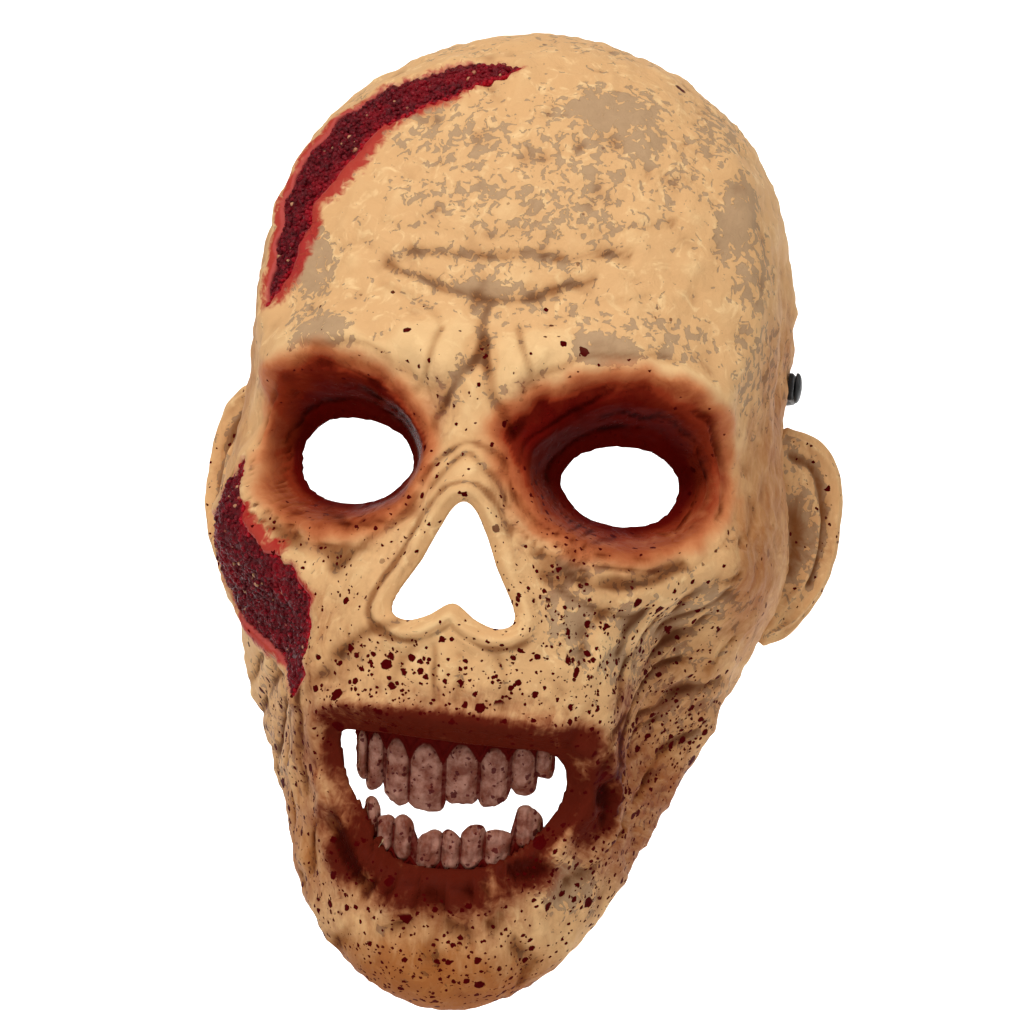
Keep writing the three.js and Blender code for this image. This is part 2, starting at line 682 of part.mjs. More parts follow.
// Row of teeth behind the lips: gum flange against the skin's inner face, teeth in the opening
const columnsPerTooth = 3;
const toothSteps = 6;
function toothGeometry(teeth, upper) {
  const columns = teeth.flatMap((tooth) => Array.from({ length: columnsPerTooth }, (_, i) => {
    const t = (2 * i + 1) / columnsPerTooth - 1;
    const x = (tooth.middle + (t * tooth.width) / 2) * mouthWidth + mouthShift;
    return { x, t, tip: tooth.tip };
  }));
  const shallow = [];
  const deep = [];
  for (let j = 0; j <= toothSteps; j += 1) {
    const share = j / toothSteps;
    const frontRow = [];
    const backRow = [];
    for (const { x, t, tip } of columns) {
      const round = (upper ? -1 : 1) * toothRounding * t * t;
      const seatZ = mouthEdge(x, upper) + (upper ? gumSeat : -gumSeat);
      const z = THREE.MathUtils.lerp(seatZ, -mouthTop - (tip + round) * mouthHeight, share);
      const depth = innerDepth(x, z) + gumSetback;
      const bulge = toothBulge * (1 - t * t) * ease((share - gumShare) / (1 - gumShare));
      frontRow.push(new THREE.Vector3(x, depth - bulge, z));
      backRow.push(new THREE.Vector3(x, depth + toothThickness, z));
    }
    shallow.push(frontRow);
    deep.push(backRow);
  }
  return upper ? wallGeometry(shallow.reverse(), deep.reverse()) : wallGeometry(shallow, deep);
}

// Ear: rows from its root in the side of the skin to its edge, with a rolled rim and a hollow
const earColumns = 7;
const earSteps = 2;
function earGeometry(side) {
  const foot = earTop - earHeight;
  const keys = ["rootUp", "rootBack", "edgeUp", "edgeOut", "edgeBack"];
  const lines = smoothLine(earRows.map((row) => keys.map((key) => row[key])), earSteps, false);
  const grid = lines.map(([rootUp, rootBack, edgeUp, edgeOut, edgeBack]) => {
    const root = sidePoint(side, rootBack * earReach, foot + rootUp * earHeight);
    root.x -= side * earRootDepth;
    const edge = new THREE.Vector3(root.x + side * edgeOut * earReach, edgeBack * earReach,
      foot + edgeUp * earHeight);
    return Array.from({ length: earColumns }, (_, i) => root.clone().lerp(edge, i / (earColumns - 1)));
  });
  const ordered = side > 0 ? grid : grid.map((row) => [...row].reverse());
  const share = (i) => (side > 0 ? i : earColumns - 1 - i) / (earColumns - 1);
  const normals = gridNormals(ordered);
  const fold = (i) => earFolds.reduce((sum, row) => sum
    + row.rise * bell((share(i) - row.place) / row.width), 0);
  const flare = (i) => THREE.MathUtils.lerp(earRootShare, 1, ease(share(i) / earRootFlare));
  const half = (i) => (earThickness / 2) * flare(i);
  const moved = (depth) => ordered
    .map((row, j) => row.map((point, i) => point.clone().addScaledVector(normals[j][i], depth(i))));
  return wallGeometry(moved((i) => half(i) + earThickness * fold(i)), moved((i) => -half(i)));
}

// Strap: a band on edge from temple to temple, straight along the skin and then in half an ellipse
// round the back of the head
const strapSteps = 20;
const strapLeads = 2;
const strapSeatX = sidePoint(1, rivetSetback, strapHeight).x + gap + strapThickness / 2;
function strapPath() {
  const bend = sectionAt(Math.PI / 6).rim;
  const straight = bend - rivetSetback + strapWidth;
  return Array.from({ length: strapSteps + 2 * strapLeads + 1 }, (_, k) => {
    const i = k - strapLeads;
    const angle = (clamp(i, 0, strapSteps) / strapSteps) * Math.PI;
    const lead = Math.max(-i, i - strapSteps, 0) / strapLeads;
    return [strapSeatX * Math.cos(angle),
      bend + (strapReach - bend) * Math.sin(angle) - lead * straight];
  });
}

function strapGeometry() {
  const path = strapPath().reverse();
  const rows = [-1, 0, 1].map((v) => path.map(([x, y]) => new THREE.Vector3(x, y,
    strapHeight + (v * strapWidth) / 2)));
  const normals = gridNormals(rows);
  const half = strapThickness / 2;
  return wallGeometry(inset(rows, normals, -half), inset(rows, normals, half));
}

// Rivet: a domed head outside the strap, a shank through strap and skin, and a flat head inside
const domeSteps = 4;
const domeEdge = 0.3;
function rivetGeometry() {
  const shank = rivetShankDiameter / 2;
  const head = rivetHeadDiameter / 2;
  const outer = strapSeatX + strapThickness / 2 + gap;
  const inner = strapSeatX - strapThickness / 2 - gap - rivetPlay - wall;
  const dome = Array.from({ length: domeSteps }, (_, i) => {
    const angle = (i / domeSteps) * (Math.PI / 2);
    const rise = domeEdge + (1 - domeEdge) * Math.sin(angle);
    return new THREE.Vector2(head * Math.cos(angle), outer + rivetHeadHeight * rise);
  });
  const profile = [
    new THREE.Vector2(0, inner - rivetHeadHeight / 2),
    new THREE.Vector2(head, inner - rivetHeadHeight / 2),
    new THREE.Vector2(head, inner),
    new THREE.Vector2(shank, inner),
    new THREE.Vector2(shank, outer),
    new THREE.Vector2(head, outer),
    ...dome,
    new THREE.Vector2(0, outer + rivetHeadHeight),
  ];
  return new THREE.LatheGeometry(profile, rivetSides);
}

function placeRivet(geometry, side) {
  return geometry.rotateZ((-side * Math.PI) / 2).translate(0, rivetSetback, strapHeight);
}

function rivetHole(side) {
  const hole = new THREE.CylinderGeometry(rivetShankDiameter / 2 + gap, rivetShankDiameter / 2 + gap,
    rivetHeadDiameter * 2, rivetSides);
  return toSolid(hole.rotateZ(Math.PI / 2).translate(side * strapSeatX, rivetSetback, strapHeight));
}

const skinLook = { color: new THREE.Color(0.84, 0.66, 0.44), roughness: 0.6 };
const woundLook = { color: new THREE.Color(0.32, 0.02, 0.05), roughness: 0.8 };
const toothLook = { color: new THREE.Color(0.5, 0.33, 0.32), roughness: 0.4 };
const strapLook = { color: new THREE.Color(0.02, 0.02, 0.02), roughness: 0.9 };
const rivetLook = { color: new THREE.Color(0.12, 0.12, 0.13), roughness: 0.4 };

function named(name, geometry, look) {
  const mesh = new THREE.Mesh(geometry, new THREE.MeshStandardMaterial(look));
  mesh.name = name;
  return mesh;
}

function skinSolid() {
  let solid = toSolid(skinGeometry(wall));
  for (const side of [1, -1]) solid = solid.add(toSolid(earGeometry(side))).subtract(rivetHole(side));
  for (const wound of [scalpGash, cheekWound]) {
    solid = solid.subtract(toSolid(woundGeometry(wound, fillSink + fillPlay, 3 * wall, fillPlay)));
  }
  return solid;
}

// A piece that sits in or behind the skin, trimmed to stand clear of it wherever an edge or a fold
// comes close
const skin = skinSolid();
const shifts = [[0, 0, 0], [1, 0, 0], [-1, 0, 0], [0, 1, 0], [0, -1, 0], [0, 0, 1], [0, 0, -1]];
const shiftedSkins = shifts
  .map((shift) => toSolid(toGeometry(skin).translate(...shift.map((step) => step * gap))));
function trimmed(geometry) {
  return toGeometry(shiftedSkins.reduce((solid, other) => solid.subtract(other), toSolid(geometry)));
}

function woundFill(rows) {
  return trimmed(woundGeometry(rows, fillSink, fillRise, 0));
}

function strapSolid() {
  return toSolid(strapGeometry()).subtract(rivetHole(1)).subtract(rivetHole(-1));
}

const mask = new THREE.Group();
mask.add(named("mask_shell", toGeometry(skin), skinLook));
mask.add(named("upper_teeth", trimmed(toothGeometry(upperTeeth, true)), toothLook));
mask.add(named("lower_teeth", trimmed(toothGeometry(lowerTeeth, false)), toothLook));
mask.add(named("scalp_gash", woundFill(scalpGash), woundLook));
mask.add(named("cheek_wound", woundFill(cheekWound), woundLook));
mask.add(named("head_strap", toGeometry(strapSolid()), strapLook));
mask.add(named("strap_rivet_left", placeRivet(rivetGeometry(), 1), rivetLook));
mask.add(named("strap_rivet_right", placeRivet(rivetGeometry(), -1), rivetLook));
mask.position.set(0, faceDepth + seatRise, 0);

export default mask;
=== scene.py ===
"""Open-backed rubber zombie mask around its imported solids: skin, ears, teeth, wounds, strap, rivets.

Lengths inside the shape functions are millimetres in the face's own frame, with the eye line at
z 0, the ear line at y 0 and the face looking along -Y. to_row() brings them into the row's frame.
"""
import math

import bpy
import numpy as np
from bpy.props import FloatProperty, FloatVectorProperty, PointerProperty
from mathutils import Matrix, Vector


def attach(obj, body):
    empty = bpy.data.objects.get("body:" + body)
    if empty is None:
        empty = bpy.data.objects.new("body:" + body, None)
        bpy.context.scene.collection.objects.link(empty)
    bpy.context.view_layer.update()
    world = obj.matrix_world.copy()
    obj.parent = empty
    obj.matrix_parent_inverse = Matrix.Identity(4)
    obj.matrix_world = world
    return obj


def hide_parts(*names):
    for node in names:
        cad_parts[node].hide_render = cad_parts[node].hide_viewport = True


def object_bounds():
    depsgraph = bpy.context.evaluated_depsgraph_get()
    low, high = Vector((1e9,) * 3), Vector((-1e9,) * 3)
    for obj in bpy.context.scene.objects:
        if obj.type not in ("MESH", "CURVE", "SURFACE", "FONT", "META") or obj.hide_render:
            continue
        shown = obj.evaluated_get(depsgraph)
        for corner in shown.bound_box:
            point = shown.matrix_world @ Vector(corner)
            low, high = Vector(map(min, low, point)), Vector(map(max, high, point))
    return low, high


bl_info = {
    "name": "Zombie Mask",
    "version": (1, 0, 0),
    "blender": (4, 5, 0),
    "location": "View3D > Sidebar > Mask",
    "description": "Dresses the solids of an open-backed rubber zombie mask",
    "category": "Object",
}

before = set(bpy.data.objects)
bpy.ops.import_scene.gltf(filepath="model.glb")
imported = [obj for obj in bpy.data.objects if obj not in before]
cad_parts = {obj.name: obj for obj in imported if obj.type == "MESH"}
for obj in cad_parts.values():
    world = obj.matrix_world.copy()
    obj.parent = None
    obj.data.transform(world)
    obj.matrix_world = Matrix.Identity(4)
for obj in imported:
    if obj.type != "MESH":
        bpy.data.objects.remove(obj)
CAD_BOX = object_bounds()
BODY = "root"
MM = 0.001

# Face, as the solids have it
HALF_WIDTH = 82.0
CROWN_HEIGHT = 152.0
CHIN_DROP = 127.0
POLE_Z = -22.0
FACE_DEPTH = 98.0
SEAT_RISE = 11.0
RELIEF_RISE = 10.0
FACE_HEIGHT = CROWN_HEIGHT + CHIN_DROP
OPENING_BACK = -FACE_DEPTH / 4
WALL = 2.4
GAP = 0.3
# Least wall left under a wrinkle, and how deep a wrinkle goes at most
THINNEST = 0.9
DEEPEST = 1.9
# Guards against dividing by nothing, a distance beyond every piece, the widest place in front view in
# shares of its section, and the rounds of a repeated correction
TINY = 1e-9
FAR = 1e3
WIDEST = 0.9995
SIDE_ROUNDS = 8
INNER_ROUNDS = 4

EYE_SPACING = 75.0
EYE_SIZE = (33.0, 24.0)
SOCKET_DEPTH = 19.0
NOSE_SIZE = (29.2, 33.0)
NOSE_TOP = 9.0
BEAD_RISE = 3.6
BEAD_WIDTH = 3.2
MOUTH_SIZE = (61.0, 36.5)
MOUTH_TOP = 72.0
MOUTH_SHIFT = 2.0
LIP_RISE = 3.2
LIP_WIDTH = 6.0
LIP_TUCK = 3.5
# How far each opening's edge grows in width and height over the solids' outline
EYE_GROWTH = {1: (0.5, -0.6), -1: (4.4, 1.2)}
NOSE_GROWTH = (-0.4, 0.0)
MOUTH_GROWTH = (-4.0, 0.0)

# Groove outside the nose bead and ledge inside it: distance from the nose hole, width, rise
NOSE_GROOVE = (4.9, 1.0, -1.3)
NOSE_LEDGE = (2.3, 1.5, 0.8)

# Grid of each surface, the steps along its outlines and the loops that close its edge
SKIN_COLUMNS = 208
SKIN_ROWS = 232
FRONT_DENSITY = 0.58
EVEN_PASSES = 14
OUTLINE_STEPS = 8
PATH_STEPS = 5
TORN_STEPS = 90
EAR_COLUMNS = 44
EAR_LEVELS = 84
TOOTH_COLUMNS = 22
TOOTH_LEVELS = 56
CRUMB_SIDES = 6
CRUMB_RINGS = 4
STRAP_STEPS = 160
STRAP_LEAD_STEPS = 12
STRAP_ACROSS = 13
RIVET_SIDES = 40
EDGE_LOOPS = 3

# Sections of the skin turned about the nose centre: turn in degrees, reach, side, square, rim
SECTION_STEP = 15.0
SECTIONS = np.array([
    (-90, 1.0, -0.63, 3.2, -0.35),
    (-75, 0.98, -0.6, 3.1, -0.33),
    (-60, 0.92, -0.53, 2.9, -0.28),
    (-45, 0.85, -0.43, 2.65, -0.21),
    (-30, 0.84, -0.33, 2.5, -0.1),
    (-15, 0.9, -0.25, 2.4, 0.04),
    (0, 1.0, -0.2, 2.4, 0.14),
    (15, 0.98, -0.21, 2.3, 0.18),
    (30, 1.08, -0.18, 2.4, 0.21),
    (45, 1.1, -0.14, 2.4, 0.25),
    (60, 1.05, -0.09, 2.4, 0.28),
    (75, 1.01, -0.06, 2.4, 0.3),
    (90, 1.0, -0.04, 2.4, 0.31),
])

# Swellings and hollows: path in shares of half width and face height, width, rise, on both sides
SWELLINGS = [
    ("brow", [(0.16, 0.097), (0.41, 0.118), (0.7, 0.093)], 0.134, 0.75, True),
    ("glabella", [(0, 0.093)], 0.16, 0.3, False),
    ("bridge", [(0, 0.065), (0, -0.014)], 0.12, 0.5, False),
    ("nose", [(0, -0.057), (0, -0.12)], 0.32, 1.2, False),
    ("muzzle", [(-0.27, -0.208), (0, -0.215), (0.27, -0.208)], 0.32, 1.3, False),
    ("lower jaw", [(-0.15, -0.373), (0.15, -0.373)], 0.32, 0.3, False),
    ("chin", [(-0.1, -0.48), (0.1, -0.48)], 0.2, 0.5, False),
    ("cheekbone", [(0.32, -0.093), (0.56, -0.1), (0.8, -0.075)], 0.16, 0.6, True),
    ("left cheek hollow", [(0.69, -0.15), (0.66, -0.25)], 0.21, -0.85, False),
    ("right cheek hollow", [(-0.61, -0.19), (-0.64, -0.24)], 0.21, -0.3, False),
    ("jaw edge", [(0.78, -0.237), (0.61, -0.366), (0.37, -0.466)], 0.13, 0.3, True),
    ("temple hollow", [(0.95, 0.222), (0.96, 0.13)], 0.18, -0.5, True),
    ("temple line", [(0.73, 0.315), (0.82, 0.208), (0.8, 0.13)], 0.1, 0.25, True),
    ("mouth fold", [(0.27, -0.158), (0.46, -0.215), (0.52, -0.3)], 0.09, 0.25, True),
]

# Outlines of the openings in shares of their own width and height
EYE_OUTLINE = [
    (-0.51, -0.06), (-0.415, 0.27), (-0.21, 0.425), (0.03, 0.475), (0.29, 0.4),
    (0.475, 0.125), (0.435, -0.23), (0.26, -0.45), (-0.03, -0.525), (-0.32, -0.415),
]
SOCKET_OUTLINE = [
    (-0.76, 0.08), (-0.62, 0.5), (-0.35, 0.81), (0.045, 1.0), (0.5, 0.875), (0.78, 0.375),
    (0.8, -0.25), (0.58, -0.66), (0.2, -0.83), (-0.23, -0.77), (-0.62, -0.46),
]
# Folds that run round the eye holes: share of the way from the hole to the rim, width, rise
SOCKET_FOLDS = [
    (0.16, 0.08, 0.8), (0.34, 0.06, -1.0), (0.48, 0.07, 0.9), (0.62, 0.06, -1.2), (0.8, 0.08, 1.2),
    (1.0, 0.06, -0.9), (1.2, 0.08, 0.6), (1.38, 0.06, -0.9), (1.55, 0.08, 0.6), (1.75, 0.07, -0.7),
]
FOLD_SWAY = 0.05
FOLD_REACH = 12.0
# Paint of the sockets: shade at the dark paint's edge, painted shade added above and toward the nose
# under the brow, halo outside it with its strength and its reach above and below
PAINT_EDGE = 0.62
PAINTED_SHADE_ABOVE = 0.2
PAINTED_SHADE_INWARD = 0.15
HALO = 0.55
HALO_REACH = (10.0, 12.0)
# Dark paint round the eye holes: outlines in front view in mm, on the wearer's left and right
SOCKET_PAINT = {
    1: [(8, 11.2), (21.2, 20.7), (32.4, 24.5), (43.4, 25), (57.2, 18.9), (62.5, 6.2), (59.6, -5.6),
        (48.6, -14.3), (35.1, -17), (23.1, -12.7), (14.3, -2.5)],
    -1: [(-58.9, 14), (-53.6, 20.1), (-43.9, 24.3), (-32.7, 22), (-23.6, 17.4), (-15.1, 7.6),
         (-16.4, -1.3), (-21, -11.5), (-30.3, -16.5), (-42.9, -16.6), (-53.4, -10.4), (-58.7, 0.2)],
}
NOSE_HALF = [
    (0, 0), (0.127, -0.075), (0.25, -0.3), (0.364, -0.54), (0.497, -0.81),
    (0.49, -0.945), (0.364, -1.0), (0.197, -0.937), (0, -0.826),
]
MOUTH_OUTLINE = [
    (-0.5, -0.04), (-0.36, 0), (-0.165, -0.005), (0.033, -0.015), (0.23, -0.015), (0.393, -0.03),
    (0.484, -0.165), (0.5, -0.385), (0.443, -0.6), (0.328, -0.81), (0.164, -0.96), (-0.033, -1.0),
    (-0.197, -0.985), (-0.32, -0.877), (-0.4, -0.66), (-0.49, -0.466), (-0.516, -0.247),
]

# Teeth: middle and width in shares of the mouth width, tip in shares of its height below the top
UPPER_TEETH = [
    (-0.418, 0.045, 0.35), (-0.357, 0.075, 0.43), (-0.254, 0.11, 0.52), (-0.121, 0.155, 0.59),
    (0.038, 0.148, 0.51), (0.18, 0.125, 0.475), (0.305, 0.105, 0.34), (0.393, 0.07, 0.26),
]
LOWER_TEETH = [
    (-0.362, 0.06, 0.58), (-0.298, 0.074, 0.65), (-0.213, 0.085, 0.7), (-0.09, 0.115, 0.76),
    (0.008, 0.085, 0.74), (0.103, 0.1, 0.7), (0.215, 0.115, 0.67), (0.341, 0.11, 0.52),
]
TOOTH_THICKNESS = 2.2
TOOTH_BULGE = 1.9
GUM_SEAT = 6.0
GUM_SETBACK = 1.2
GUM_LINE = 0.31
GUM_ARCH = 0.25
TOOTH_SPATTER = 0.62
# Rounding and unevenness of the tips in shares of the mouth height
TIP_ROUNDING = 0.06
TIP_UNEVEN = 0.035
# Along each tooth, in shares of its length: from gum to full crown, and from full crown to tip
CROWN_START = 0.07
TIP_FADE = 0.16
TOOTH_GROOVE = 1.2
GUM_ROLL = 0.75

# Torn edges of the wounds in front view, from the first tip to the second
GASH_OUTER = [
    (-3.5, 113.5), (-12.6, 114.7), (-21.9, 113.1), (-30.2, 110), (-35.9, 107.5), (-41.2, 105.7),
    (-46.6, 101.8), (-53.1, 95.9), (-56.2, 88.2), (-59.8, 83.3), (-61.7, 76.9), (-63.5, 70.9),
    (-63.2, 65.9), (-63.9, 60.6), (-64.0, 52.3), (-64.1, 43.6), (-63.6, 39.5),
]
GASH_INNER = [
    (-3.5, 113.0), (-9, 109.3), (-15.9, 106.1), (-21.1, 102.6), (-29.2, 98.9), (-35.7, 94.7),
    (-40.9, 90.7), (-44.9, 85.7), (-48.6, 79.4), (-52.9, 72.6), (-55.7, 66.5), (-57.1, 59.4),
    (-58.9, 50.6), (-61.3, 44.2), (-63.2, 39.5),
]
CHEEK_INNER = [
    (-67.4, -2.9), (-64.5, -10.2), (-61.4, -17), (-57.6, -22.8), (-53.2, -26.4), (-46.8, -28.5),
    (-42, -31.9), (-37.8, -39), (-35.9, -44.8), (-35, -51.4), (-34.9, -59.3), (-37.8, -64.6),
]
CHEEK_OUTER = [
    (-68.6, -2.9), (-72, -10.7), (-77.2, -16.5), (-80.8, -21.7), (-79.8, -29.1), (-76.6, -35.1),
    (-72, -40.1), (-66.5, -47), (-60, -51.6), (-51.5, -55.6), (-44.5, -60.2), (-38.2, -64.8),
]
# Two edges of each wound with the seed and height of their jags, and the jags' lengths in mm
TORN_EDGES = {"scalp_gash": ((GASH_OUTER, 11, 0.45), (GASH_INNER, 13, 0.3)),
              "cheek_wound": ((CHEEK_OUTER, 17, 0.3), (CHEEK_INNER, 19, 0.6))}
TORN_LENGTHS = (7.0, 5.0)
# Fill of each wound: rows and columns of its bed, loose crumbs, seed
FILLS = {"scalp_gash": (150, 17, 1700, 51), "cheek_wound": (90, 40, 2100, 61)}
CRUMB_RADII = (0.35, 0.85)
FILL_SINK = 1.1
FILL_RISE = 0.72
FILL_PLAY = 0.5
BED_DEPTH = FILL_SINK + FILL_PLAY + 0.4
BED_SLOPE = 1.2
BED_INSET = 0.6 * FILL_PLAY
WOUND_LIP_RISE = 1.6

# Ear, as the solids have it; its rows from the lobe to the top: height and depth of the root, then
# height, reach and depth of the edge, in shares of the ear's height and reach
EAR_HEIGHT = 62.0
EAR_REACH = 17.0
EAR_TOP = 21.0
EAR_THICKNESS = 3.4
EAR_ROOT_DEPTH = 1.7
EAR_ROOT_SHARE = 0.5
EAR_ROOT_FLARE = 0.25
EAR_ROWS = [
    (0.07, -0.7, 0, 0.06, -0.6), (0.18, -0.52, 0.07, 0.32, -0.25), (0.37, -0.3, 0.31, 0.72, 0.3),
    (0.6, -0.12, 0.6, 0.95, 0.7), (0.78, 0, 0.81, 1.0, 0.8), (0.88, 0.06, 0.95, 0.72, 0.6),
    (0.93, 0.1, 1.0, 0.18, 0.25),
]

# Folds of the ear: path in shares of its width and height from the root and the foot, width, rise
EAR_FOLDS = [
    ("helix", [(0.5, 0.03), (0.8, 0.14), (0.9, 0.35), (0.91, 0.6), (0.9, 0.82), (0.7, 0.95), (0.3, 0.99)],
     2.0, 1.7),
    ("scapha", [(0.66, 0.3), (0.7, 0.5), (0.7, 0.7), (0.6, 0.84), (0.3, 0.88)], 1.7, -1.5),
    ("antihelix", [(0.35, 0.2), (0.55, 0.32), (0.6, 0.5), (0.52, 0.66), (0.15, 0.73)], 1.9, 1.5),
    ("concha", [(0.22, 0.36), (0.28, 0.5), (0.2, 0.6)], 4.4, -2.4),
    ("tragus", [(0.02, 0.4), (0.02, 0.48)], 1.8, 1.2),
    ("lobe", [(0.35, 0.08)], 3.5, 0.8),
]

# Strap and rivets
STRAP_WIDTH = 8.0
STRAP_THICKNESS = 1.5
STRAP_HEIGHT = 34.0
STRAP_REACH = 104.0
STRAP_RIBS = 9
STRAP_PICK = 0.0009
STRAP_MARGIN = 0.3
RIVET_SETBACK = 4.0
RIVET_HEAD = 9.0
RIVET_HEAD_HEIGHT = 2.0
RIVET_SHANK = 4.0
RIVET_PLAY = 1.4
# Rounding of the heads: back of the inner one, its face to the skin, the outer one's to the band
RIVET_EDGE = 0.25
RIVET_INNER_EDGE = 0.15
RIVET_OUTER_EDGE = 0.2

# Camera: azimuth and roll in degrees, and where the axis passes the eyes' middle, in mm
CAMERA_AZIMUTH = 7.0
CAMERA_ROLL = 5.6
CAMERA_DISTANCE = 1000.0
CAMERA_AIM = (0.0, -75.0, 0.0)
CAMERA_OFFSET = (8.06, -10.5)
CAMERA_LENS = 127.38
CAMERA_SENSOR = 36.0
CAMERA_CLIP = (0.05, 50.0)

# Floor in metres: its front edge, where it bends up, the bend's radius, the wall's height, half width
FLOOR_FRONT = -4.0
FLOOR_BACK = 1.6
FLOOR_BEND = 1.2
FLOOR_BEND_STEPS = 24
FLOOR_WALL = 4.0
FLOOR_HALF_WIDTH = 5.0
# Lamps: name, place, aim, diameter, watts, spread in degrees
LAMPS = [
    ("key", (-0.3, -1.2, 1.05), (0, 0, 0), 0.7, 17.5, 180),
    ("fill", (1.1, -1.0, 0.1), (0, 0, 0), 1.0, 2.0, 180),
    ("top", (0.1, 0.1, 1.3), (0, 0, 0), 0.9, 2.5, 180),
    ("backdrop_left", (-1.4, 0.5, 0.9), (-0.2, 2.0, -0.25), 1.0, 27.0, 110),
    ("backdrop_right", (1.4, 0.5, 0.9), (0.2, 2.0, -0.25), 1.0, 27.0, 110),
]
SKY_COLOUR = (1.0, 0.98, 0.95, 1)
SKY_STRENGTH = 0.26

# Rise of the skin across a wrinkle and darkness of the painted shade in it, as bells: place and width in half
# widths, share of the wrinkle's depth; then the most that depth counts, and the painted shade in pits and the
# nose groove
WRINKLE_PROFILE = [(0.0, 0.75, -0.7), (0.0, 2.2, -0.3), (3.0, 1.5, 0.22)]
CREASE_PROFILE = [(0.0, 0.75, 1.0), (0.0, 2.0, 0.25)]
CREASE_TOP = 1.2
PIT_SHADE = 0.8
GROOVE_SHADE = 0.4
# How far wrinkles stray sideways, the length of their bends, and slow lumps: length, seed, rise
STRAY = 0.6
STRAY_LENGTH = 14.0
LUMPS = [(11.0, 21, 0.3), (5.0, 22, 0.16)]

